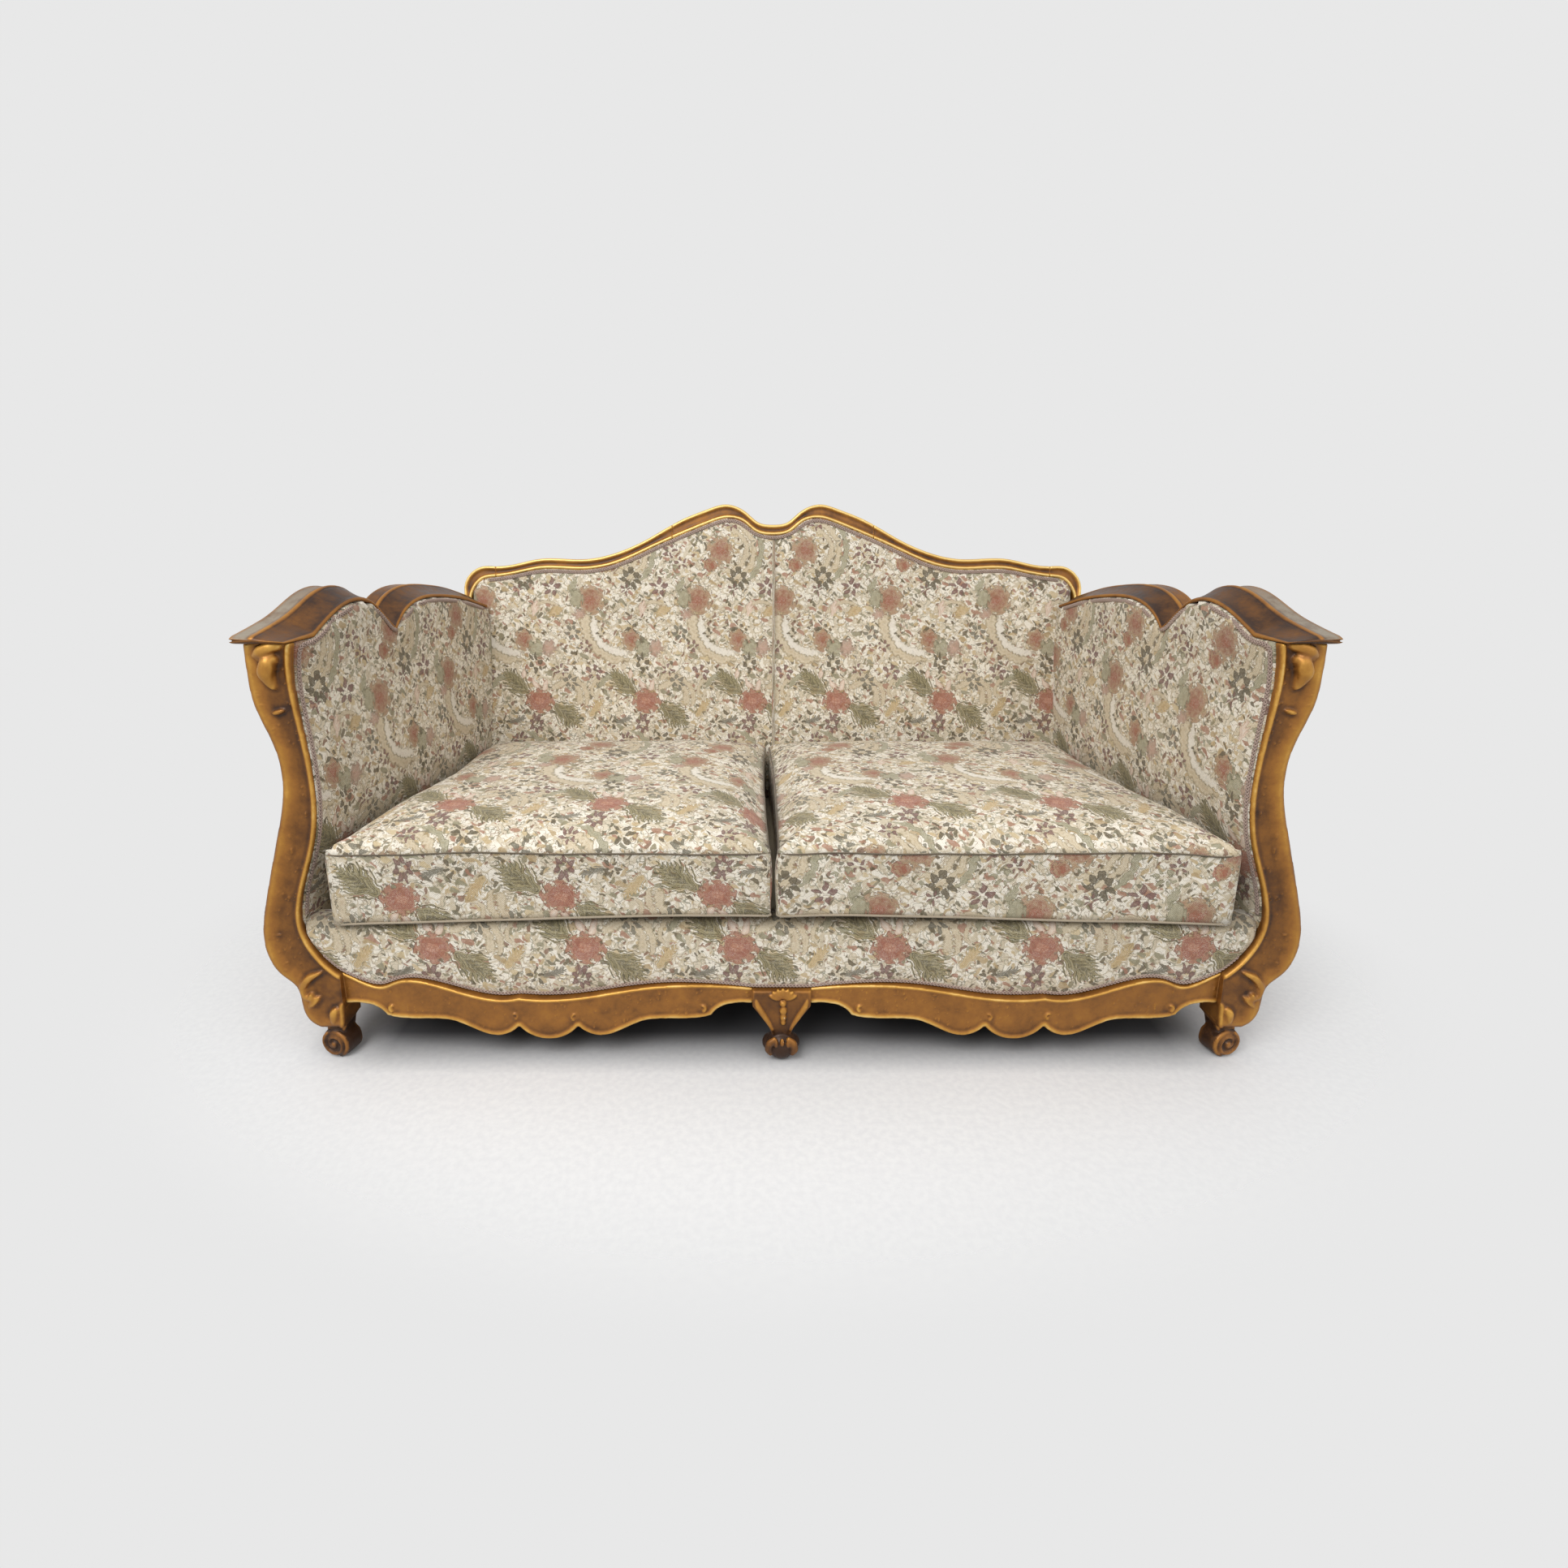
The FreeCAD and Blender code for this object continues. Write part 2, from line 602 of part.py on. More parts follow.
def coil_spring():
    """Coil spring between the webbing and the deck, at the origin."""
    height = seat_height - deck_thickness - rail_bottom - 2 * spring_wire
    rise = height / (spring_turns * 2 * math.pi)
    arcs = []
    for half in range(2 * spring_turns):
        a, b = half * math.pi, (half + 1) * math.pi
        arcs += biarc(helix_point(a, rise), helix_tangent(a, rise),
                      helix_point(b, rise), helix_tangent(b, rise))
    section = Part.makeCircle(spring_wire, helix_point(0, rise), helix_tangent(0, rise))
    coil = Part.Wire(arcs).makePipeShell([Part.Wire(section)], True, False)
    coil.translate(Vector(0, 0, rail_bottom + spring_wire))
    return coil


spring_columns = [side * x for side in (-1, 1) for x in spring_columns_right]


def seat_webbing():
    """Jute bands tacked under the rails: one under each row and each column of springs."""
    bands = []
    for y in spring_rows:
        reach = arm_line(y) + 7.0 + side_rail_thickness - 6.0
        z = (rail_bottom - web_thickness, rail_bottom)
        bands.append(box((-reach, reach), (y - web_width / 2, y + web_width / 2), z))
    z = (rail_bottom - 2 * web_thickness - 0.1, rail_bottom - web_thickness - 0.1)
    near = apron_back + 6.0
    far = back_y(rail_bottom, back_frame_near) + 20.0
    for x in spring_columns:
        bands.append(box((x - web_width / 2, x + web_width / 2), (near, far), z))
    return bands


def back_webbing():
    """Jute bands on the front of the back's timbers, uprights over levels."""
    inside = back_half - back_post_width + 30.0
    levels = []
    for z in back_web_heights:
        low = leaned_height(z)
        levels.append(box((-inside, inside), (back_frame_near - web_thickness / 2, back_frame_near),
                          (low, low + web_width)))
    uprights = []
    for x in [side * p for side in (-1, 1) for p in back_web_columns]:
        uprights.append(box((x - web_width / 2, x + web_width / 2),
                            (back_frame_near - 2 * web_thickness, back_frame_near - web_thickness),
                            (leaned_height(back_rail_bottom + 18.0), 2 * crest_height)))
    field = back_outline(0.0, 40.0, 0.0, 12.0)
    return [lean(band.common(field)) for band in levels + uprights]


# Upholstery

def seat_border(inset, depth):
    """Stuffed front edge between the posts, over the aprons: its lower edge follows their curve."""
    y = post_front + 8.0
    side = post_side(post_inner, y, -inset, 0.0)
    side = [(x, py, z + inset) for x, py, z in side if z + inset < seat_height - 3.0]
    x_top = side[-1][0]
    side.append((x_top, y, seat_height))
    right = apron_top(y, inset) + [spline(side)]
    left = [mirrored(edge) for edge in right]
    floor_z = apron_top_inner[0][1] + inset
    low_x = block_half - inset
    flat = polyline([(-low_x, y, floor_z), (low_x, y, floor_z)])
    top = polyline([(-x_top, y, seat_height), (x_top, y, seat_height)])
    return prism(right + left + flat + top, (0, depth, 0))


def seat_front_border():
    border = seat_border(seam_gap, border_thickness)
    roll = [edge for edge in border.Edges if is_top_front(edge, border)]
    border = border.makeFillet(border_round, roll)
    inside = lining_x(basket_swell, post_front + border_thickness) - 2 * seam_gap
    rebate = box((inside, belly_half), (lining_front - seam_gap, 0), (pad_bottom - seam_gap, crest_height))
    return border.cut(rebate).cut(mirrored(rebate))


def is_top_front(edge, shape):
    low = shape.BoundBox.YMin
    ends = [vertex.Point for vertex in edge.Vertexes]
    return len(ends) == 2 and all(abs(p.z - seat_height) < 0.01 and abs(p.y - low) < 0.01 for p in ends)


def seat_deck():
    """Sprung platform under the cushions, between the front border and the back."""
    near = post_front + 8.0 + border_thickness + seam_gap
    far = back_y(seat_height, -back_pad_front) - 1.0
    z = (seat_height - deck_thickness, seat_height)
    right = [(arm_line(near) - 1.0, near), (arm_line(far) - 1.0, far)]
    plan = right + [(-x, y) for x, y in right[::-1]]
    return plan_prism(plan, z)


def drawn_arc(a, b, depth, z):
    """Arc from a to b that bends towards its right hand by depth, at height z."""
    ax, ay = a
    bx, by = b
    length = math.hypot(bx - ax, by - ay)
    mx = (ax + bx) / 2 - depth * (by - ay) / length
    my = (ay + by) / 2 + depth * (bx - ax) / length
    return Part.Arc(Vector(ax, ay, z), Vector(mx, my, z), Vector(bx, by, z)).toShape()


def seat_cushion(side):
    """Loose box cushion: crowned top, boxing drawn in between its corners."""
    bottom = seat_height + rest_gap
    near = post_front - cushion_overhang
    far = back_y(bottom, -back_pad_front) - cushion_back_gap
    split = cushion_split + side * cushion_gap / 2

    def outer(y):
        return side * (arm_line(max(y, post_front)) - cushion_side_gap)

    corners = [(split, near), (outer(near), near), (outer(far), far), (split, far)]
    if side < 0:
        corners = corners[::-1]
    sides = [drawn_arc(a, b, drawn_in, 0) for a, b in zip(corners, corners[1:] + corners[:1])]
    plan = prism(sides, (0, 0, 2 * seat_height))
    sections = []
    for share, crown in ((0.0, 0.12), (0.22, 0.82), (0.5, 1.0), (0.78, 0.84), (1.0, 0.12)):
        y = near + share * (far - near)
        top = bottom + cushion_boxing
        a, b = split, outer(y)
        arc = Part.Arc(Vector(a, y, top), Vector((a + b) / 2, y, top + cushion_crown * crown),
                       Vector(b, y, top)).toShape()
        ends = polyline([(b, y, top), (b, y, bottom), (a, y, bottom), (a, y, top)])
        sections.append(Part.Wire([arc] + ends))
    return Part.makeLoft(sections, True, False).common(plan)


def outside_arm():
    """Outside of the arm: it follows the post's belly in front and runs straight at the back."""
    front = post_side(post_outer, post_back, -3.0 - cover_thickness, outside_low, arm_ceiling)
    front.insert(0, (belly_half - 18.0 - cover_thickness, post_back, outside_low))
    rear = [(back_half + 2.0, far_back, z) for _, _, z in front]
    skin = band_between(front, rear, cover_thickness)
    skin = skin.common(arm_field(seam_gap, lining_front, 0.0))
    return skin.cut(behind_back(back_frame_far))


# Pieces

pieces = {}
lining = arm_lining(0.0, pad_thickness).cut(behind_back(-back_pad_front - 1.0))
lining = lining.common(arm_field(seam_gap, lining_front - seam_gap, 0.0))
arm_gimp = arm_lining(-gimp_thickness - seam_gap, gimp_thickness).cut(behind_back(-back_pad_front - 6.0))
arm_gimp = arm_gimp.common(arm_field(seam_gap, lining_front - seam_gap, 0.0))
arm_gimp = arm_gimp.cut(arm_field(gimp_width, lining_front, -10.0))

post = front_post()
side_rail = side_seat_rail()
whole_crest = crest()
inner_edge = back_half - corner_joint
corner = lean(between(whole_crest, inner_edge, belly_half))
rail = arm_rail().cut(corner)
seat_rail_y = (apron_back, apron_back + front_rail_thickness)
block_front, screws_front = corner_block(True)
block_rear, screws_rear = corner_block(False)
screw_holes = []
for screw in screws_front + screws_rear:
    screw_holes += [screw, mirrored(screw)]
screw_tool = Part.makeCompound(screw_holes)

pieces["crest_centre"] = lean(between(whole_crest, -crest_joint, crest_joint))
pieces["centre_leg"] = centre_leg()
right_parts = {
    "front_post": post,
    "apron": apron(),
    "arm_rail": rail,
    "crest_side": lean(between(whole_crest, crest_joint, inner_edge)),
    "crest_corner": corner,
    "back_post": back_post(corner),
    "side_seat_rail": side_rail,
    "side_apron": side_apron(),
    "arm_tack_rail": arm_tack_rail().cut(lining),
    "inside_arm_pad": lining,
    "outside_arm_panel": outside_arm(),
    "gimp_arm": arm_gimp,
}
for name, shape in right_parts.items():
    pieces[name + "_right"] = shape
    pieces[name + "_left"] = mirrored(shape)

pieces["front_seat_rail"] = box((-joint_x, joint_x), seat_rail_y, rail_z)
inner_half = back_half - back_post_width
rear_box = box((-inner_half, inner_half), (back_frame_near, back_frame_far - 6.0),
               (leaned_height(rail_bottom + rear_rail_lift), leaned_height(rail_top)))
pieces["rear_seat_rail"] = lean(rear_box)
pieces["back_lower_rail"] = lean(box((-inner_half, inner_half), (back_frame_near, back_frame_far - 14.0),
                                     (leaned_height(back_rail_bottom), leaned_height(back_rail_top))))
muntin = box((-25, 25), (back_frame_near + 4, back_frame_far - 14),
             (leaned_height(back_rail_top), leaned_height(crest_height - 40.0)))
tongue_cut = between(whole_crest, -crest_joint, crest_joint)
pieces["back_centre_muntin"] = lean(muntin.cut(tongue_cut).common(back_outline(0, 80, 0, 1.0)))
brace_far = back_y(rail_bottom + 10.0, back_frame_near)
pieces["seat_centre_brace"] = box((-brace_width / 2, brace_width / 2), (seat_rail_y[1], brace_far + 40.0),
                                  (rail_bottom + 10.0, rail_bottom + 50.0)).cut(pieces["rear_seat_rail"])
pieces["seat_centre_brace"] = pieces["seat_centre_brace"].cut(behind_back(back_frame_near))

timber = [name for name in pieces if not name.startswith(("gimp", "inside", "outside"))]
for name in timber:
    pieces[name] = pieces[name].cut(dowel_holes)
for name in ("front_seat_rail", "rear_seat_rail", "side_seat_rail_left", "side_seat_rail_right",
             "front_post_left", "front_post_right", "back_post_left", "back_post_right"):
    pieces[name] = pieces[name].cut(screw_tool)

blocks = [block_front.cut(post), block_rear]
pieces["corner_blocks"] = Part.makeCompound(blocks + [mirrored(block) for block in blocks])
screws = screws_front + screws_rear
pieces["corner_block_screws"] = Part.makeCompound(screws + [mirrored(screw) for screw in screws])
pieces["frame_dowels"] = Part.makeCompound(dowel_pins)

pieces["seat_webbing"] = Part.makeCompound(seat_webbing())
coil = coil_spring()
places = [Vector(x, y, 0) for x in spring_columns for y in spring_rows]
pieces["seat_springs"] = Part.makeCompound([coil.translated(place) for place in places])
arm_rails = pieces["arm_rail_left"].fuse(pieces["arm_rail_right"])
pieces["back_webbing"] = Part.makeCompound([band.cut(arm_rails) for band in back_webbing()])
pieces["seat_deck"] = seat_deck()
border = seat_front_border().cut(pieces["front_seat_rail"])
for side in ("left", "right"):
    trimmed = pieces["gimp_arm_" + side].cut(pieces["front_post_" + side]).cut(border)
    pieces["gimp_arm_" + side] = trimmed
pieces["seat_front_border"] = border
back_pad = lean(back_outline(-back_pad_front, back_pad_front + 13.0, back_rail_bottom, seam_gap))
for name in ("arm_rail_left", "arm_rail_right", "arm_tack_rail_left", "arm_tack_rail_right"):
    back_pad = back_pad.cut(pieces[name])
pieces["inside_back_pad"] = back_pad
panel = back_outline(back_frame_far + seam_gap, cover_thickness, knee_z + 14.0, seam_gap)
pieces["outside_back_panel"] = lean(panel)
dust_near = apron_back + 4.0
dust_far = back_y(rail_bottom, back_frame_near) + 16.0
dust_z = rail_bottom - 2 * web_thickness - 1.5
dust_right = [(arm_line(dust_near) + 30.0, dust_near), (arm_line(dust_far) + 30.0, dust_far)]
dust_plan = dust_right + [(-x, y) for x, y in dust_right[::-1]]
dust = plan_prism(dust_plan, (dust_z, dust_z + dust_thickness))
for name in ("front_post_left", "front_post_right", "back_post_left", "back_post_right", "centre_leg"):
    dust = dust.cut(pieces[name])
pieces["dust_cover"] = dust

gimp_band = seat_border(seam_gap, gimp_thickness).cut(seat_border(gimp_width, gimp_thickness))
gimp_band.translate(Vector(0, -gimp_thickness - 0.3, 0))
above = box((-belly_width, belly_width), (-overall_depth, 0), (seat_height - 14.0, crest_height))
pieces["gimp_seat_front"] = gimp_band.cut(above)
gimp_y = -back_pad_front - gimp_thickness - 0.3
field = back_outline(gimp_y, gimp_thickness, back_rail_bottom, seam_gap)
back_gimp = field.cut(back_outline(gimp_y - 1, gimp_thickness + 2, 200.0, gimp_width))
under_arm = box((-belly_width, belly_width), (-100, 100), (0, leaned_height(arm_tip_height)))
pieces["gimp_back"] = lean(back_gimp.cut(under_arm))

pieces["seat_cushion_left"] = seat_cushion(-1)
pieces["seat_cushion_right"] = seat_cushion(1)

for name, shape in pieces.items():
    bad = not shape.isValid() or not shape.Solids
    print(name, "solids", len(shape.Solids), "volume", round(shape.Volume), "BAD" if bad else "")
    shape.exportStep("parts/%s.step" % name)
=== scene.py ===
import bpy
import math
import numpy as np
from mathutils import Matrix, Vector
from mathutils.bvhtree import BVHTree
from mathutils.kdtree import KDTree


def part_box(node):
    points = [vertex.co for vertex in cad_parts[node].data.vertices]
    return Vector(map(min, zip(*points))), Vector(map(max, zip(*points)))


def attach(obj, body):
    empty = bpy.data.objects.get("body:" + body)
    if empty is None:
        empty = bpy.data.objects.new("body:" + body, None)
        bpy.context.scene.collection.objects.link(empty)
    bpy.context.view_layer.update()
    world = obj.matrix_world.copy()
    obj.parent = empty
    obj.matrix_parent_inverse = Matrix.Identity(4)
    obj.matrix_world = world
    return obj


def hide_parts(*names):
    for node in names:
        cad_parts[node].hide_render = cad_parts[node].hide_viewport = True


# Cabriole sofa: carved giltwood show frame, tapestry upholstery, two loose cushions.
# Metres, +X to the right as seen from the front, +Y to the back, +Z up.

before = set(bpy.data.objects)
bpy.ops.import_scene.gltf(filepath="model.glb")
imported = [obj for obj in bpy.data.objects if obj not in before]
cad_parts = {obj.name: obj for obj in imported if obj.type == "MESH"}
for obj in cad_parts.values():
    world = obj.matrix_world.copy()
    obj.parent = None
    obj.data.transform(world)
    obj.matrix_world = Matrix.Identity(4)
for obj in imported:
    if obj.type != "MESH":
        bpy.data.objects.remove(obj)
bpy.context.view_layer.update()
mm = 0.001
left, right = -1, 1
sideNames = {left: "left", right: "right"}
rake = math.radians(9.0)                      # lean of the back
armLean = 0.112                               # how far each arm closes in for each metre of depth
armFront = -0.418                             # where the arms begin
print("frame loaded:", len(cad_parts), "nodes")

# camera: the photograph's place and angle, in pixels of a 1932 pixel square
viewPoint = {"place": (-0.055, -1.676, 0.9335), "pitch": 14.0, "side": 1932.0, "focal": 980.0,
             "principal": (925.0, 894.0), "sensor": 36.0}
cameraData = bpy.data.cameras.new("room_camera")
cameraData.sensor_width = viewPoint["sensor"]
cameraData.lens = viewPoint["sensor"] * viewPoint["focal"] / viewPoint["side"]
cameraData.shift_x = 0.5 - viewPoint["principal"][0] / viewPoint["side"]
cameraData.shift_y = viewPoint["principal"][1] / viewPoint["side"] - 0.5
camera = bpy.data.objects.new("room_camera", cameraData)
camera.location = viewPoint["place"]
camera.rotation_euler = (math.radians(90 - viewPoint["pitch"]), 0, 0)
bpy.context.scene.collection.objects.link(camera)
bpy.context.scene.camera = camera
bpy.context.scene.view_settings.view_transform = "Standard"


# colours and nodes

# sRGB hex to linear
def linear(hexColour, alpha=1.0):
    values = [int(hexColour[i:i + 2], 16) / 255 for i in (1, 3, 5)]
    return [v / 12.92 if v <= 0.04045 else ((v + 0.055) / 1.055) ** 2.4 for v in values] + [alpha]


def add(tree, kind, *inputs, sockets=None, stops=None, **settings):
    # inputs fill the sockets in their order, sockets by name; a node stands for its first output
    node = tree.nodes.new("ShaderNode" + kind)
    for name, value in settings.items():
        setattr(node, name, value)
    for key, value in list(enumerate(inputs)) + list((sockets or {}).items()):
        if isinstance(value, bpy.types.Node):
            value = value.outputs[0]
        if isinstance(value, bpy.types.NodeSocket):
            tree.links.new(value, node.inputs[key])
        elif value is not None:
            node.inputs[key].default_value = value
    if stops:
        ramp = node.color_ramp
        while len(ramp.elements) < len(stops):
            ramp.elements.new(1.0)
        for element, (place, colour) in zip(ramp.elements, stops):
            element.position = place
            element.color = colour if not isinstance(colour, str) else linear(colour)
    return node


def newMaterial(name):
    material = bpy.data.materials.new(name)
    material.use_nodes = True
    material.node_tree.nodes.clear()
    return material, material.node_tree


# light and floor

studio = {"backdrop": "#E8E8E8", "floor": "#DEDEDF", "ambient": 0.78, "horizon": 0.24,
          "keyPower": 84.0, "keyPlace": (-1.3, -2.5, 2.9), "keySize": 2.0,
          "fillPower": 24.0, "fillPlace": (2.2, -2.4, 2.4), "fillSize": 2.6}


def areaLamp(name, place, size, power, target=(0, 0, 0.4)):
    lamp = bpy.data.lights.new(name, "AREA")
    lamp.size = size
    lamp.energy = power
    holder = bpy.data.objects.new(name, lamp)
    holder.location = place
    holder.rotation_euler = (Vector(target) - Vector(place)).to_track_quat("-Z", "Y").to_euler()
    bpy.context.scene.collection.objects.link(holder)


areaLamp("key_softbox", studio["keyPlace"], studio["keySize"], studio["keyPower"])
areaLamp("fill_softbox", studio["fillPlace"], studio["fillSize"], studio["fillPower"])

world = bpy.data.worlds.new("studio")
bpy.context.scene.world = world
world.use_nodes = True
tree = world.node_tree
tree.nodes.clear()
rays = add(tree, "LightPath")
seen = add(tree, "Math", rays.outputs["Is Camera Ray"], rays.outputs["Is Glossy Ray"], operation="MAXIMUM")
seen = add(tree, "Math", seen, rays.outputs["Is Transmission Ray"], operation="MAXIMUM")
sky = add(tree, "SeparateXYZ", add(tree, "TexCoord").outputs["Generated"])
glow = add(tree, "MapRange", sky.outputs[2], -0.1, 0.75, studio["horizon"], studio["ambient"])
ambient = add(tree, "Background", (1, 1, 1, 1), glow)
backdrop = add(tree, "Background", linear(studio["backdrop"]), 1.0)
add(tree, "OutputWorld", add(tree, "MixShader", seen, ambient, backdrop))

floorMaterial, tree = newMaterial("matt_pale_floor")
place = add(tree, "TexCoord").outputs["Object"]
oval = add(tree, "VectorMath", place, (1 / 1.30, 1 / 0.86, 0), operation="MULTIPLY")
reach = add(tree, "VectorMath", oval, operation="LENGTH").outputs["Value"]
fade = add(tree, "MapRange", reach, 0.72, 1.12, interpolation_type="SMOOTHSTEP")
grain = add(tree, "TexNoise", place, sockets={"Scale": 90.0, "Detail": 3.0})
tint = add(tree, "ValToRGB", grain, stops=[(0.35, linear(studio["floor"])), (0.65, linear("#E5E5E5"))])
# painted shadow: the floor colour is darkened under the seat rails, where little light reaches
inner = add(tree, "VectorMath", place, (0, 0.045, 0), operation="ADD")
inner = add(tree, "SeparateXYZ", add(tree, "VectorMath", inner, operation="ABSOLUTE"))
paintedShadowUnderSeat = add(tree, "Math", add(tree, "MapRange", inner.outputs[0], 0.72, 0.88, 1.0, 0.0),
              add(tree, "MapRange", inner.outputs[1], 0.30, 0.42, 1.0, 0.0), operation="MULTIPLY")
tint = add(tree, "MixRGB", paintedShadowUnderSeat, tint, linear("#5A5A5C"))
matt = add(tree, "BsdfDiffuse", tint)
add(tree, "OutputMaterial", add(tree, "MixShader", fade, matt, add(tree, "BsdfTransparent")))
print("camera, light and floor ready")


# meshes

def newPiece(name, points, faces, body="frame", materials=(), uv=None, marks=None):
    # uv is one pair for each point; marks are numbers for each point, which the materials read
    mesh = bpy.data.meshes.new(name)
    mesh.from_pydata(np.asarray(points, float).tolist(), [], [list(map(int, f)) for f in faces])
    mesh.polygons.foreach_set("use_smooth", [True] * len(mesh.polygons))
    if uv is not None:
        corners = np.zeros(len(mesh.loops), np.int32)
        mesh.loops.foreach_get("vertex_index", corners)
        layer = mesh.uv_layers.new(name="cloth")
        layer.data.foreach_set("uv", np.asarray(uv, np.float32)[corners].ravel())
    for key, values in (marks or {}).items():
        mesh.attributes.new(key, "FLOAT", "POINT").data.foreach_set("value", np.asarray(values, np.float32))
    for material in materials:
        mesh.materials.append(material)
    piece = bpy.data.objects.new(name, mesh)
    bpy.context.scene.collection.objects.link(piece)
    if body:
        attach(piece, body)
    return piece


# points and triangles of an object's mesh as arrays
def meshOf(holder):
    mesh = holder.data
    points = np.zeros(len(mesh.vertices) * 3)
    mesh.vertices.foreach_get("co", points)
    mesh.calc_loop_triangles()
    corners = np.zeros(len(mesh.loop_triangles) * 3, np.int32)
    mesh.loop_triangles.foreach_get("vertices", corners)
    return points.reshape(-1, 3), corners.reshape(-1, 3)


# the same mesh with the points that share a place joined
def welded(points, faces):
    keys = np.round(points * 1e6).astype(np.int64)
    _, first, back = np.unique(keys, axis=0, return_index=True, return_inverse=True)
    faces = back.reshape(-1)[faces]
    keep = (faces[:, 0] != faces[:, 1]) & (faces[:, 1] != faces[:, 2]) & (faces[:, 0] != faces[:, 2])
    return points[first], faces[keep]


probes = {}


def probe(node):
    if node not in probes:
        points, faces = meshOf(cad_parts[node])
        probes[node] = BVHTree.FromPolygons(points.tolist(), faces.tolist())
    return probes[node]


def hit(node, start, direction):
    return probe(node).ray_cast(Vector(start), Vector(direction))[0]


# quads over a grid of points that is stored row by row
def gridFaces(rows, columns, closed=False, offset=0, flip=False):
    faces = []
    for i in range(rows - 1):
        for j in range(columns if closed else columns - 1):
            k = (j + 1) % columns
            face = [i * columns + j, i * columns + k, (i + 1) * columns + k, (i + 1) * columns + j]
            faces.append([offset + c for c in (face[::-1] if flip else face)])
    return faces


# closed mesh between two grids of points with the same rows and columns
def slab(front, back):
    rows, columns = front.shape[:2]
    count = rows * columns
    points = np.concatenate([front.reshape(-1, 3), back.reshape(-1, 3)])
    faces = gridFaces(rows, columns) + gridFaces(rows, columns, offset=count, flip=True)
    rim = [j for j in range(columns)] + [i * columns + columns - 1 for i in range(1, rows)]
    rim += [(rows - 1) * columns + j for j in range(columns - 2, -1, -1)]
    rim += [i * columns for i in range(rows - 2, 0, -1)]
    for a, b in zip(rim, rim[1:] + rim[:1]):
        faces.append([b, a, a + count, b + count])
    return points, faces


# closed round bar along a path, its thickness given point by point
def tube(path, radii, sides=8, squash=1.0, up=(0, 0, 1)):
    path = np.asarray(path, float)
    radii = np.broadcast_to(np.asarray(radii, float), len(path))
    along = np.gradient(path, axis=0)
    along /= np.linalg.norm(along, axis=1)[:, None] + 1e-12
    across = np.cross(along, np.asarray(up, float))
    across /= np.linalg.norm(across, axis=1)[:, None] + 1e-9
    over = np.cross(across, along)
    turn = np.linspace(0, 2 * math.pi, sides, endpoint=False)
    ring = path[:, None] + radii[:, None, None] * (np.cos(turn)[None, :, None] * across[:, None]
                                                   + squash * np.sin(turn)[None, :, None] * over[:, None])
    points = np.concatenate([ring.reshape(-1, 3), path[:1], path[-1:]])
    faces = gridFaces(len(path), sides, closed=True)
    start, end = len(path) * sides, len(path) * sides + 1
    for j in range(sides):
        k = (j + 1) % sides
        faces.append([k, j, start])
        faces.append([(len(path) - 1) * sides + j, (len(path) - 1) * sides + k, end])
    return points, faces


# closed ellipsoid, tilted in the XZ plane
def ball(centre, size, turns=14, sides=18, tilt=0.0):
    rise = np.linspace(-math.pi / 2, math.pi / 2, turns)[1:-1]
    turn = np.linspace(0, 2 * math.pi, sides, endpoint=False)
    x = np.cos(rise)[:, None] * np.cos(turn)
    y = np.cos(rise)[:, None] * np.sin(turn)
    z = np.repeat(np.sin(rise)[:, None], sides, 1)
    points = np.stack([x, y, z], -1).reshape(-1, 3)
    points = np.concatenate([points, [[0, 0, -1], [0, 0, 1]]]) * np.asarray(size)
    c, s = math.cos(tilt), math.sin(tilt)
    x, y, z = points.T
    points = np.stack([c * x + s * z, y, -s * x + c * z], -1)
    faces = gridFaces(turns - 2, sides, closed=True)
    low = (turns - 2) * sides
    for j in range(sides):
        k = (j + 1) % sides
        faces.append([k, j, low])
        faces.append([(turns - 3) * sides + j, (turns - 3) * sides + k, low + 1])
    return points + np.asarray(centre), faces


def joined(parts):
    points, faces, count = [], [], 0
    for partPoints, partFaces in parts:
        points.append(np.asarray(partPoints))
        faces += [[count + c for c in face] for face in partFaces]
        count += len(partPoints)
    return np.concatenate(points), faces


def smoothstep(low, high, values):
    t = np.clip((np.asarray(values, float) - low) / (high - low), 0, 1)
    return t * t * (3 - 2 * t)


# the same polyline with points every step
def resampled(line, step):
    line = np.asarray(line, float)
    lengths = np.concatenate([[0], np.cumsum(np.linalg.norm(np.diff(line, axis=0), axis=1))])
    places = np.linspace(0, lengths[-1], max(2, int(round(lengths[-1] / step)) + 1))
    return np.stack([np.interp(places, lengths, line[:, i]) for i in range(3)], -1)


# a polyline with its small corners taken off; the ends stay
def evened(line, passes=2):
    line = np.array(line, float)
    for _ in range(passes):
        line[1:-1] = (line[:-2] + 2 * line[1:-1] + line[2:]) / 4
    return line


# edges of a carved face, read from the frame: the outline of the faces that look one way

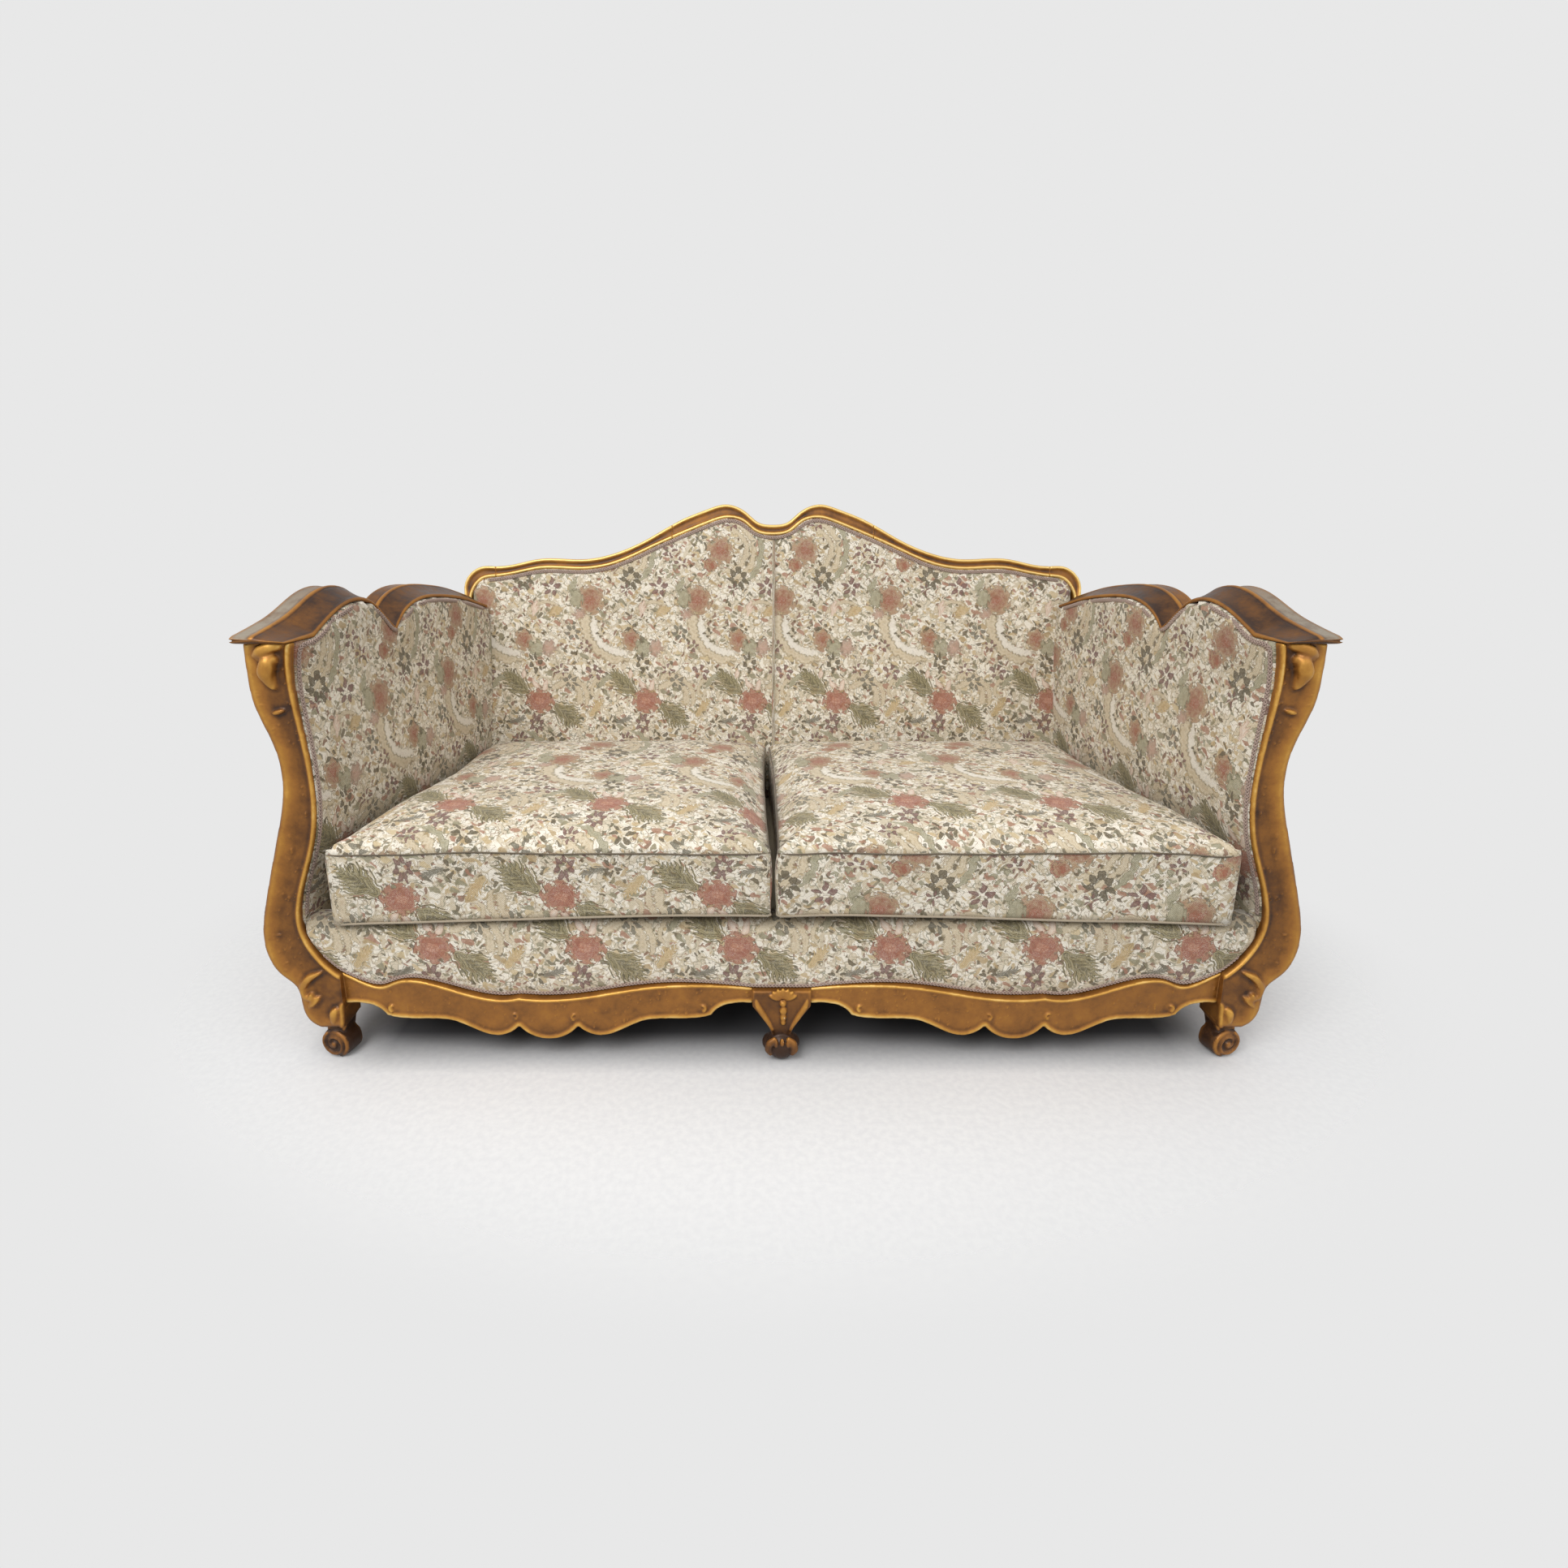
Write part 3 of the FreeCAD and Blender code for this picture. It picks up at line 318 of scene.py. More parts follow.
def faceEdges(node, facing, centre, ends=(), least=0.8):
    # facing: the way the carved face looks. centre: a point that the inner edges turn towards.
    # ends: (axis, value) planes where pieces meet, which have no moulding. Gives inner and outer lines.
    points, faces = welded(*meshOf(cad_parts[node]))
    facing = np.asarray(facing, float)
    facing /= np.linalg.norm(facing)
    normals = np.cross(points[faces[:, 1]] - points[faces[:, 0]], points[faces[:, 2]] - points[faces[:, 0]])
    normals /= np.linalg.norm(normals, axis=1)[:, None] + 1e-20
    chosen = faces[normals @ facing > least]
    sides = {}
    for a, b, c in chosen:
        for edge in ((a, b), (b, c), (c, a)):
            if edge[::-1] in sides:
                del sides[edge[::-1]]
            else:
                sides[edge] = True
    # bores and slivers leave small loops, which are no edges of the moulding
    parent = {}

    def root(v):
        while parent.setdefault(v, v) != v:
            parent[v] = parent[parent[v]]
            v = parent[v]
        return v

    for a, b in sides:
        parent[root(a)] = root(b)
    size = {}
    for a, b in sides:
        size[root(a)] = size.get(root(a), 0) + np.linalg.norm(points[a] - points[b])
    found = {"inner": [], "outer": []}
    for a, b in sides:
        if size[root(a)] < 0.05:
            continue
        middle = (points[a] + points[b]) / 2
        along = points[b] - points[a]
        length = np.linalg.norm(along)
        meets = any(abs(points[a][k] - v) < 4e-4 and abs(points[b][k] - v) < 4e-4 for k, v in ends)
        if length < 1e-7 or meets:
            continue
        outwards = np.cross(along / length, facing)
        kind = "outer" if outwards @ (middle - np.asarray(centre)) > 0 else "inner"
        steps = max(1, int(length / (1.0 * mm)))
        for i in range(steps):
            found[kind].append(points[a] + along * (i + 0.5) / steps)
    return {kind: np.array(places) for kind, places in found.items()}


# distance from each place to a set of points that follow an edge
def nearness(places, line):
    if not len(line):
        return np.full(len(places), 1.0)
    tree = KDTree(len(line))
    for i, place in enumerate(line):
        tree.insert(place, i)
    tree.balance()
    return np.array([tree.find(place)[2] for place in places])


# one closed even mesh from solids that run into each other
def voxelMesh(points, faces, size):
    mesh = bpy.data.meshes.new("blank")
    mesh.from_pydata(np.asarray(points).tolist(), [], [list(map(int, f)) for f in faces])
    holder = bpy.data.objects.new("blank", mesh)
    bpy.context.scene.collection.objects.link(holder)
    remesh = holder.modifiers.new("even", "REMESH")
    remesh.mode = "VOXEL"
    remesh.voxel_size = size
    remesh.adaptivity = 0.0
    graph = bpy.context.evaluated_depsgraph_get()
    even = bpy.data.meshes.new_from_object(holder.evaluated_get(graph))
    places = np.zeros(len(even.vertices) * 3)
    even.vertices.foreach_get("co", places)
    corners = np.zeros(len(even.polygons) * 4, np.int32)
    even.loops.foreach_get("vertex_index", corners)
    bpy.data.objects.remove(holder)
    bpy.data.meshes.remove(mesh)
    bpy.data.meshes.remove(even)
    return places.reshape(-1, 3), corners.reshape(-1, 4)


def quadNormals(points, quads):
    cross = np.cross(points[quads[:, 2]] - points[quads[:, 0]], points[quads[:, 3]] - points[quads[:, 1]])
    normals = np.zeros_like(points)
    for i in range(4):
        for k in range(3):
            normals[:, k] += np.bincount(quads[:, i], cross[:, k], len(points))
    return normals / (np.linalg.norm(normals, axis=1)[:, None] + 1e-20)


# mean over each point's neighbours
def ringMean(values, quads, count):
    total = np.zeros((count, values.shape[1]))
    weight = np.zeros(count)
    for i in range(4):
        a, b = quads[:, i], quads[:, (i + 1) % 4]
        weight += np.bincount(a, minlength=count) + np.bincount(b, minlength=count)
        for k in range(values.shape[1]):
            total[:, k] += np.bincount(a, values[b, k], count) + np.bincount(b, values[a, k], count)
    return total / np.maximum(weight, 1)[:, None]


def relaxed(points, quads, passes, share=0.5):
    for _ in range(passes):
        points = points + share * (ringMean(points, quads, len(points)) - points)
    return points


# giltwood

def giltwood(name, bright):
    # water gilding over red bole and gesso on beech, toned brown: burnished beads shine, hollows keep the dark
    # toning, rubbed edges show the bole and knocked corners the white gesso. The curvature mark also paints
    # convex edges lighter and hollows darker, as painted highlight and painted shade
    material, tree = newMaterial(name)
    place = add(tree, "TexCoord").outputs["Object"]
    rise = add(tree, "Attribute", attribute_name="rise").outputs["Fac"]
    convex = add(tree, "Attribute", attribute_name="convex").outputs["Fac"]
    chip = add(tree, "Attribute", attribute_name="chip").outputs["Fac"]
    dust = add(tree, "Attribute", attribute_name="dust").outputs["Fac"]
    patches = add(tree, "TexNoise", place, sockets={"Scale": 26.0, "Detail": 5.0, "Roughness": 0.62})
    rubs = add(tree, "TexNoise", place, sockets={"Scale": 120.0, "Detail": 4.0, "Roughness": 0.7})
    cloud = add(tree, "TexNoise", place, sockets={"Scale": 6.0, "Detail": 2.0})
    # the curvature mark lifts convex places and lowers concave ones: partly rubbed gold and toning, partly
    # painted highlight and painted shade
    level = add(tree, "Math", convex, 0.38, operation="MULTIPLY")
    level = add(tree, "Math", rise, 0.52, level, operation="MULTIPLY_ADD")
    level = add(tree, "Math", patches, 0.55, level, operation="MULTIPLY_ADD")
    level = add(tree, "Math", cloud, 0.40, level, operation="MULTIPLY_ADD")
    level = add(tree, "Math", rubs, 0.22, level, operation="MULTIPLY_ADD")
    level = add(tree, "MapRange", level, 0.34 - bright, 1.36 - bright)
    gold = add(tree, "ValToRGB", level, stops=[(0.0, "#38200E"), (0.2, "#6A4218"), (0.42, "#99652A"),
                                               (0.62, "#B37E34"), (0.8, "#CF9C48"), (1.0, "#EDCB80")])
    wornEdge = add(tree, "Math", convex, patches, operation="MULTIPLY")
    bole = add(tree, "MapRange", wornEdge, 0.50, 0.62)
    colour = add(tree, "MixRGB", bole, gold, linear("#7E4726"))
    greyness = add(tree, "MapRange", patches, 0.30, 0.5, 0.35, 0.95)
    greyness = add(tree, "Math", dust, greyness, operation="MULTIPLY")
    colour = add(tree, "MixRGB", greyness, colour, linear("#8C8272"))
    knocked = add(tree, "Math", rubs, 0.5, chip, operation="MULTIPLY_ADD")
    knocked = add(tree, "MapRange", knocked, 0.80, 0.84)
    colour = add(tree, "MixRGB", knocked, colour, linear("#DDD2C0"))
    metal = add(tree, "MapRange", level, 0.2, 0.9, 0.30, 0.62)
    bare = add(tree, "Math", knocked, greyness, operation="MAXIMUM")
    metal = add(tree, "Math", metal, add(tree, "Math", 1.0, bare, operation="SUBTRACT"), operation="MULTIPLY")
    rough = add(tree, "Math", patches, rubs, operation="MULTIPLY")
    rough = add(tree, "MapRange", rough, 0.12, 0.42, 0.34, 0.60)
    bump = add(tree, "Bump", sockets={"Strength": 0.25, "Distance": 0.0006, "Height": rubs.outputs[0]})
    shader = add(tree, "BsdfPrincipled", sockets={
        "Base Color": colour, "Metallic": metal, "Roughness": rough, "Normal": bump})
    add(tree, "OutputMaterial", shader)
    return material


gilding = {"plain": giltwood("aged_water_gilding", -0.15),
           "bright": giltwood("burnished_water_gilding", 0.10),
           "warm": giltwood("warm_water_gilding", -0.05),
           "toned": giltwood("brown_toned_water_gilding", -0.25)}

# edge profiles: distance in from the edge against depth under the uncarved face, both in mm
postInner = [(0, 5), (1.5, 2), (3, 0.8), (4.5, 0.5), (6.5, 1.4), (9, 4.6), (11.5, 6.5), (17, 5.6), (24, 4.6),
             (60, 4.2)]
postOuter = [(0, 6.5), (1.5, 3.6), (5, 1.6), (10, 0.9), (15, 1.5), (22, 3.0), (32, 4.6), (60, 4.8)]
crestEdge = [(0, 3.4), (1.5, 0.9), (4.2, 0), (7, 0.9), (9, 4.0), (12, 4.8), (40, 4.8)]
apronTop = [(0, 2.4), (1.5, 0.9), (3.2, 0.6), (5, 1.6), (6.5, 2.8), (14, 2.9), (80, 2.6)]
apronEdge = [(0, 3.0), (1.5, 0.8), (4.5, 0), (8, 1.2), (9.8, 4.2), (14, 4.4), (30, 3.0), (80, 2.6)]


def profileDepth(profile, places):
    steps, depths = np.array(profile, float).T
    return np.interp(places, steps * mm, depths * mm)


# how much each place has lost of its gilding, 0 to 1, round the spots of (x, y, z, size)
def knockedOff(points, spots):
    lost = np.zeros(len(points))
    for x, y, z, size in spots:
        lost = np.maximum(lost, 1.1 - 0.6 * np.linalg.norm(points - (x, y, z), axis=1) / size)
    return 0.57 * np.clip(lost, 0, 1)


def carve(node, faces, ends=(), extra=(), voxel=2.0, chips=(), look="plain"):
    # faces: one dictionary for each carved side, with its edge profiles, "shade" for a darker field and
    # "rubbed" for a dark outer edge. extra: closed solids that grow out of the timber.
    points, triangles = meshOf(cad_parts[node])
    points, triangles = welded(points, triangles)
    solid = joined([(points, triangles.tolist())] + list(extra))
    points, quads = voxelMesh(solid[0], solid[1], voxel * mm)
    points = relaxed(points, quads, 6)
    normals = quadNormals(points, quads)
    move = np.zeros_like(points)
    rise = np.full(len(points), 0.35)
    onExtra = np.zeros(len(points), bool)
    if extra:
        probeTree = probe(node)
        inside = np.array([(probeTree.find_nearest(Vector(p), 0.02)[3] or 0.02) for p in points])
        onExtra = inside > 1.6 * mm
    for face in faces:
        facing = np.asarray(face["facing"], float)
        facing /= np.linalg.norm(facing)
        edges = faceEdges(node, facing, face["centre"], ends)
        inner = nearness(points, edges["inner"])
        outer = nearness(points, edges["outer"])
        depth = np.minimum(profileDepth(face["inner"], inner), profileDepth(face["outer"], outer))
        front = smoothstep(0.35, 0.8, normals @ facing)
        rim = np.where(inner < outer, face["inner"][0][1], face["outer"][0][1]) * mm
        wall = rim * np.clip(1 - np.minimum(inner, outer) / (2.2 * rim), 0, 1)
        turned = normals @ facing > -0.3
        shift = np.where(turned, front * depth + (1 - front) * wall, 0)
        shift[onExtra] = 0
        move -= facing * shift[:, None]
        deepest = max(d for _, d in face["outer"] + face["inner"]) * mm
        height = 1 - face.get("shade", 0) - depth / deepest
        rise = np.where(front > 0.3, np.clip(height, 0, 1), rise)
        rise = rise - face.get("rubbed", 0) * np.clip(1 - outer / (9 * mm), 0, 1) * turned
    rise = np.where(onExtra, 0.72, rise)
    rise = rise - 0.62 * smoothstep(0.085, 0.03, points[:, 2])      # darker near the floor
    points = relaxed(points + move, quads, 1, 0.4)
    # curvature: how far each point stands out from its smoothed neighbours; the gilding paints convex places
    # lighter and concave places darker, partly as painted highlight and painted shade
    smooth = relaxed(points, quads, 6)
    normals = quadNormals(points, quads)
    curve = np.einsum("ij,ij->i", points - smooth, normals)
    convex = np.clip(curve / (0.45 * mm), -1, 1)
    for _ in range(4):
        convex = ringMean(convex[:, None], quads, len(points))[:, 0]
    convex = np.sign(convex) * np.maximum(np.abs(convex) - 0.12, 0)
    marks = {"rise": rise, "convex": convex, "chip": knockedOff(points, chips), "dust": np.zeros(len(points))}
    piece = newPiece(node + "_carved", points, quads, "frame", [gilding[look]], marks=marks)
    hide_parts(node)
    print("carved", node, len(quads), "faces")


forwards = (0, -1, 0)
leanedFront = (0, -math.cos(rake), math.sin(rake))
spot = hit("inside_back_pad", (0.3, -1.0, 0.5), (0, 1, 0))
backPlane = spot.y + 8 * mm / math.cos(rake)    # where the back's plane passes, half a metre up


# from the back's own upright coordinates to the room
def leaned(x, y, z):
    x, y, z = np.broadcast_arrays(x, y, z)
    up = z - 0.5
    return np.stack([x, backPlane + y * math.cos(rake) + up * math.sin(rake),
                     0.5 - y * math.sin(rake) + up * math.cos(rake)], -1)


def faceAt(node, x, z):
    # the front of a piece at this place
    found = hit(node, (x, -1.0, z), (0, 1, 0))
    return found.y if found else None


# crest
crestNodes = {"crest_centre": ((0, -0.25), (0, 0.25))}
for s in (left, right):
    crestNodes["crest_side_" + sideNames[s]] = ((0, s * 0.25), (0, s * 0.69))
    crestNodes["crest_corner_" + sideNames[s]] = ((0, s * 0.69),)
for node, ends in crestNodes.items():
    face = {"facing": leanedFront, "centre": (0, 0, -5), "inner": crestEdge, "outer": crestEdge}
    carve(node, [face], ends, look="bright")

# front posts: a rolled bead runs down the inside and a thin ridge down the outside of a hollow field
foot = {"x": 0.802, "y": -0.401, "z": 0.026, "turn": math.radians(15), "half": 0.020, "radius": 0.028}


def scrollFoot(s):
    # spiral band and eye on the front of the scroll foot
    c, n = math.cos(foot["turn"]), math.sin(foot["turn"])
    turn = np.linspace(0, 2 * math.pi * 1.55, 70)
    radius = np.interp(turn, [0, turn[-1]], [foot["radius"] - 4.0 * mm, 7.0 * mm])
    angle = math.radians(65) - turn
    across, up = radius * np.cos(angle), radius * np.sin(angle)
    reach = foot["half"] + 0.2 * mm
    line = np.stack([s * (foot["x"] + across * c + reach * n), foot["y"] + across * n - reach * c,
                     foot["z"] + 1.5 * mm + up], -1)
    band = tube(line, np.interp(turn, [0, turn[-1]], [3.8 * mm, 2.4 * mm]), up=(s * n, -c, 0))
    eye = ball((s * (foot["x"] + reach * n), foot["y"] - reach * c, foot["z"] + 1.5 * mm), (5.5 * mm,) * 3)
    return [band, eye]


def mirroredSolid(solid, s):
    points, faces = solid
    if s == right:
        return solid
    return np.asarray(points) * (-1, 1, 1), [list(f)[::-1] for f in faces]


def bent(stations, width, rise=0.6, sides=12):
    # a tapering leaf or scroll through (x, y, z, radius) stations, smoothed
    stations = np.array(stations, float)
    t = np.linspace(0, len(stations) - 1, 14 * len(stations))
    line = np.stack([np.interp(t, range(len(stations)), stations[:, k]) for k in range(4)], -1)
    for _ in range(14):
        line[1:-1] = (line[:-2] + line[1:-1] + line[2:]) / 3
    return tube(line[:, :3], line[:, 3] * width, sides, rise, up=(0, -1, 0))


capitalLeaf = [[(0.798, -0.424, 0.752, 0.004), (0.815, -0.428, 0.750, 0.009), (0.832, -0.428, 0.742, 0.010),
                (0.846, -0.424, 0.734, 0.003)],
               [(0.812, -0.424, 0.733, 0.005), (0.822, -0.429, 0.726, 0.012), (0.829, -0.428, 0.708, 0.013),
                (0.826, -0.423, 0.690, 0.007), (0.816, -0.417, 0.674, 0.002)],
               [(0.836, -0.424, 0.732, 0.003), (0.846, -0.418, 0.722, 0.007), (0.848, -0.408, 0.704, 0.006),
                (0.842, -0.398, 0.690, 0.002)]]
collar = [(0.812, -0.420, 0.645, 0.002), (0.826, -0.419, 0.641, 0.004), (0.842, -0.413, 0.637, 0.0042),
          (0.846, -0.395, 0.636, 0.004), (0.846, -0.370, 0.636, 0.002)]
kneeScroll = [[(0.806, -0.425, 0.176, 0.002), (0.832, -0.428, 0.164, 0.005), (0.848, -0.424, 0.145, 0.007),
               (0.846, -0.424, 0.126, 0.006), (0.833, -0.428, 0.122, 0.004), (0.832, -0.430, 0.133, 0.003)],
              [(0.812, -0.424, 0.132, 0.003), (0.828, -0.427, 0.118, 0.006), (0.842, -0.424, 0.101, 0.005),
               (0.838, -0.422, 0.092, 0.002)],
              [(0.786, -0.424, 0.108, 0.003), (0.797, -0.429, 0.095, 0.007), (0.800, -0.425, 0.076, 0.006),
               (0.797, -0.420, 0.060, 0.003)]]
postChips = [(0.850, -0.424, 0.140, 0.009),
             (0.842, -0.424, 0.097, 0.007), (0.826, -0.430, 0.745, 0.006), (0.838, -0.42, 0.235, 0.004)]
chipsRightOnly = [(0.812, -0.424, 0.671, 0.009), (0.810, -0.416, 0.619, 0.012), (0.893, -0.40, 0.205, 0.010),
                  (0.897, -0.40, 0.222, 0.007), (0.816, -0.416, 0.54, 0.005)]
for s in (left, right):
    node = "front_post_" + sideNames[s]
    face = {"facing": forwards, "centre": (0, 0, 0.45), "inner": postInner, "outer": postOuter,
            "rubbed": 0.75}
    ornaments = scrollFoot(s)
    for stations in capitalLeaf + [collar] + kneeScroll:
        ornaments.append(mirroredSolid(bent(stations, 1.0, 0.75), s))
    spots = [(s * x, y, z, r) for x, y, z, r in postChips + (chipsRightOnly if s == right else [])]
    carve(node, [face], [(0, s * 0.78), (2, 0.755)], ornaments, chips=spots)

# arm rails: a flat dusty top outside, then a bead, and a cove that falls to a bead over the padding.
# across from the inside to the outside, height from the underside to the top, gilding, dust
railSection = [(0.04, 0.0, 0.3, 0), (0.0, 0.05, 0.7, 0), (-0.01, 0.14, 0.9, 0), (0.01, 0.25, 0.8, 0),
               (0.04, 0.28, 0.0, 0), (0.07, 0.28, 0.0, 0), (0.13, 0.33, 0.1, 0), (0.22, 0.42, 0.15, 0),
               (0.32, 0.54, 0.2, 0), (0.42, 0.70, 0.2, 0), (0.50, 0.84, 0.1, 0), (0.535, 0.86, 0.0, 0),
               (0.555, 0.96, 0.8, 0), (0.59, 1.0, 1.0, 0), (0.63, 0.98, 0.8, 0), (0.655, 0.92, 0.1, 0.5),
               (0.72, 0.92, 0.4, 1), (0.80, 0.93, 0.4, 1), (0.90, 0.93, 0.4, 1), (0.94, 0.96, 0.6, 0.6),
               (0.98, 0.97, 0.8, 0.2), (1.0, 0.90, 0.8, 0), (0.995, 0.80, 0.6, 0), (0.965, 0.72, 0.2, 0),
               (0.94, 0.55, 0.3, 0), (0.94, 0.38, 0.3, 0), (0.965, 0.27, 0.2, 0), (1.0, 0.20, 0.7, 0),
               (1.0, 0.06, 0.7, 0), (0.96, 0.0, 0.4, 0), (0.7, 0.0, 0.1, 0), (0.35, 0.0, 0.1, 0)]
railChips = [(0.806, -0.438, 0.757, 0.004), (0.829, -0.438, 0.758, 0.005), (0.868, -0.436, 0.762, 0.006),
             (0.850, -0.430, 0.770, 0.004)]
# both side lines of the rail start at the tip and close in towards the back
railLook = {"step": 0.004, "rear": 0.306, "inside": 0.7868, "outside": 0.872, "outsideLean": 0.1265,
            "tip": -0.438, "probe": 0.020, "tipShrink": (0.55, 0.86)}


def sweepRail(s):
    node = "arm_rail_" + sideNames[s]
    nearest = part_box(node)[0][1]
    stations = np.arange(nearest + 0.0005, railLook["rear"], railLook["step"])
    section = np.array(railSection)
    steps = np.arange(len(section) + 1)
    fine = np.linspace(0, len(section), 3 * len(section), endpoint=False)
    closed = np.concatenate([section, section[:1]])
    section = np.stack([np.interp(fine, steps, closed[:, k]) for k in range(4)], -1)
    for _ in range(2):
        outline = section[:, :2]
        section[:, :2] = (np.roll(outline, 1, 0) + 2 * outline + np.roll(outline, -1, 0)) / 4
    rings = []
    for y in stations:
        inside = s * railLook["inside"] - s * armLean * (y - armFront)
        outside = s * railLook["outside"] - s * railLook["outsideLean"] * (y - railLook["tip"])
        probeX = inside + s * railLook["probe"]
        top = hit(node, (probeX, y, 1.2), (0, 0, -1))
        under = hit(node, (probeX, y, 0.5), (0, 0, 1))
        x = inside + (outside - inside) * section[:, 0]
        z = under.z + (top.z - under.z) * section[:, 1]
        rings.append(np.stack([x, np.full_like(x, y), z], -1))
    rings = np.array(rings)
    count = len(section)
    for k, shrink in enumerate(railLook["tipShrink"]):     # rounds the tip
        middle = rings[k].mean(0)
        rings[k] = middle + (rings[k] - middle) * (1 - (1 - shrink) * np.array([0.06, 0, 1.0]))
    points = np.concatenate([rings.reshape(-1, 3), rings[0].mean(0)[None], rings[-1].mean(0)[None]])
    faces = gridFaces(len(rings), count, closed=True)
    last = (len(rings) - 1) * count
    for j in range(count):
        k = (j + 1) % count
        faces.append([k, j, len(points) - 2])
        faces.append([last + j, last + k, len(points) - 1])
    if s > 0:
        faces = [f[::-1] for f in faces]
    repeat = np.concatenate([np.tile(section[:, 2], len(rings)), [0.5, 0.2]])
    grey = np.concatenate([np.tile(section[:, 3], len(rings)), [0, 0]])
    grey *= smoothstep(-0.16, -0.34, points[:, 1])      # the dust lies on the front half
    knocked = knockedOff(points, [(s * x, y, z, size) for x, y, z, size in railChips])
    piece = newPiece(node + "_carved", points, faces, "frame", [gilding["toned"]],
                     marks={"rise": repeat, "convex": 0 * repeat, "chip": knocked, "dust": grey})
    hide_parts(node)


for s in (left, right):
    sweepRail(s)

# aprons: a bead follows the scalloped edge and curls up at each cusp
cusps = [(0.694, 0.092, 1), (0.476, 0.082, -1), (0.368, 0.080, 1), (0.142, 0.092, -1)]
for s in (left, right):
    node = "apron_" + sideNames[s]
    ornaments = []
    for x, z, way in cusps:
        turn = np.linspace(0, 2 * math.pi * 1.05, 34)
        radius = np.interp(turn, [0, turn[-1]], [7.5 * mm, 2.6 * mm])
        angle = -0.5 * math.pi + way * turn
        y = (faceAt(node, s * x, z + 6 * mm) or -0.424) - 0.2 * mm
        line = np.stack([s * (x + radius * np.cos(angle)), np.full(len(turn), y),
                         z + 8 * mm + radius * np.sin(angle)], -1)
        ornaments.append(tube(line, np.interp(turn, [0, turn[-1]], [3.0 * mm, 1.8 * mm]), up=forwards))
    face = {"facing": forwards, "centre": (0, 0, 10), "inner": apronTop, "outer": apronEdge}
    carve(node, [face], [(0, s * 0.78), (0, s * 0.052)], ornaments, look="warm")

# centre block: a shell with drops over a ball foot
shell = []
for k in range(-3, 4):
    lean = k * math.radians(21)
    shell.append(ball((0.002 + 0.017 * math.sin(lean), -0.4255, 0.118 + 0.015 * math.cos(lean)),
                      (4.2 * mm, 4.0 * mm, 11 * mm), tilt=lean))
shell.append(ball((0.002, -0.426, 0.113), (6 * mm, 5 * mm, 6 * mm)))
for z, size in ((0.099, 6.5), (0.086, 5.5), (0.076, 4.5)):
    shell.append(ball((0.003, -0.427, z), (size * mm, 4.5 * mm, size * 1.25 * mm)))
for side in (-1, 1):
    shell.append(bent([(side * 0.046, -0.424, 0.122, 0.002), (side * 0.043, -0.426, 0.108, 0.005),
                       (side * 0.032, -0.426, 0.090, 0.005), (side * 0.022, -0.425, 0.072, 0.004),
                       (side * 0.015, -0.424, 0.058, 0.003)], 1.0, 0.8))
    shell.append(bent([(side * 0.010, -0.436, 0.050, 0.004), (side * 0.021, -0.436, 0.040, 0.007),
                       (side * 0.024, -0.434, 0.026, 0.007), (side * 0.018, -0.432, 0.014, 0.004)], 1.0, 0.9))
for k in range(3):
    place = (0.001 + (k - 1) * 0.011, -0.4375, 0.042 - 0.002 * abs(k - 1))
    shell.append(ball(place, (4 * mm, 3.4 * mm, 9 * mm)))
legChips = [(0.003, -0.43, 0.135, 0.010), (0.005, -0.43, 0.087, 0.006), (0.028, -0.43, 0.075, 0.006),
            (0.006, -0.44, 0.045, 0.008), (-0.019, -0.436, 0.039, 0.007), (0.026, -0.436, 0.039, 0.007),
            (0.0, -0.436, 0.020, 0.007)]
plainEdge = [(0, 1.6), (2, 0), (60, 0)]
face = {"facing": forwards, "centre": (0, 0, 0.3), "inner": plainEdge, "outer": plainEdge, "shade": 0.8}
carve("centre_leg", [face], [(0, -0.052), (0, 0.052)], shell, voxel=1.4, chips=legChips)

for s in (left, right):
    side = {"facing": (s, 0.1, 0), "centre": (0, 0, -5), "inner": apronEdge, "outer": apronEdge}
    carve("side_apron_" + sideNames[s], [side], voxel=3.0)
print("gilded frame done")


# tapestry: cotton jacquard, woven from dyed yarns, cream ground, one repeat 267 by 534 mm

cloth = {"repeat": (0.267, 0.534), "ground": "#ECE4D4", "thread": 1.9 * mm}

dyes = {
    "rust": [(0, "#C39078"), (0.2, "#A96F58"), (0.45, "#9C6150"), (0.66, "#B2836A"), (0.78, "#7C5442")],
    "brownRust": [(0, "#A0604A"), (0.3, "#9A6A52"), (0.55, "#AA876C"), (0.72, "#B49C7C"), (0.78, "#6E5644")],
    "plum": [(0, "#8E6E62"), (0.5, "#7F605A"), (0.78, "#6E564C")],
    "pink": [(0, "#BC9684"), (0.5, "#B99C88"), (0.78, "#9C8474")],
    "petal": [(0, "#E4D4C4"), (0.5, "#DBC2AE"), (0.7, "#CBAE98"), (0.78, "#8E7866")],
    "olive": [(0, "#675F44"), (0.3, "#857B58"), (0.5, "#A79B76"), (0.66, "#6E6646"), (0.78, "#4E4833")],
    "sage": [(0, "#9E987E"), (0.5, "#AEA78C"), (0.7, "#8F8A70"), (0.78, "#6E6850")],
    "slate": [(0, "#777264"), (0.5, "#837D6C"), (0.78, "#625D50")],
    "dark": [(0, "#625947"), (0.5, "#6E6450"), (0.78, "#584F3E")],
    "ochre": [(0, "#BFA478"), (0.5, "#CBB48A"), (0.7, "#B59A6C"), (0.78, "#8C7A56")],
    "beige": [(0, "#CBBA9C"), (0.4, "#D5C7AC"), (0.62, "#C0AE8E"), (0.78, "#8F8269")],
    "pale": [(0, "#EAE3D6"), (0.5, "#E6DECF"), (0.66, "#CFC5B2"), (0.78, "#8F8671")],
}

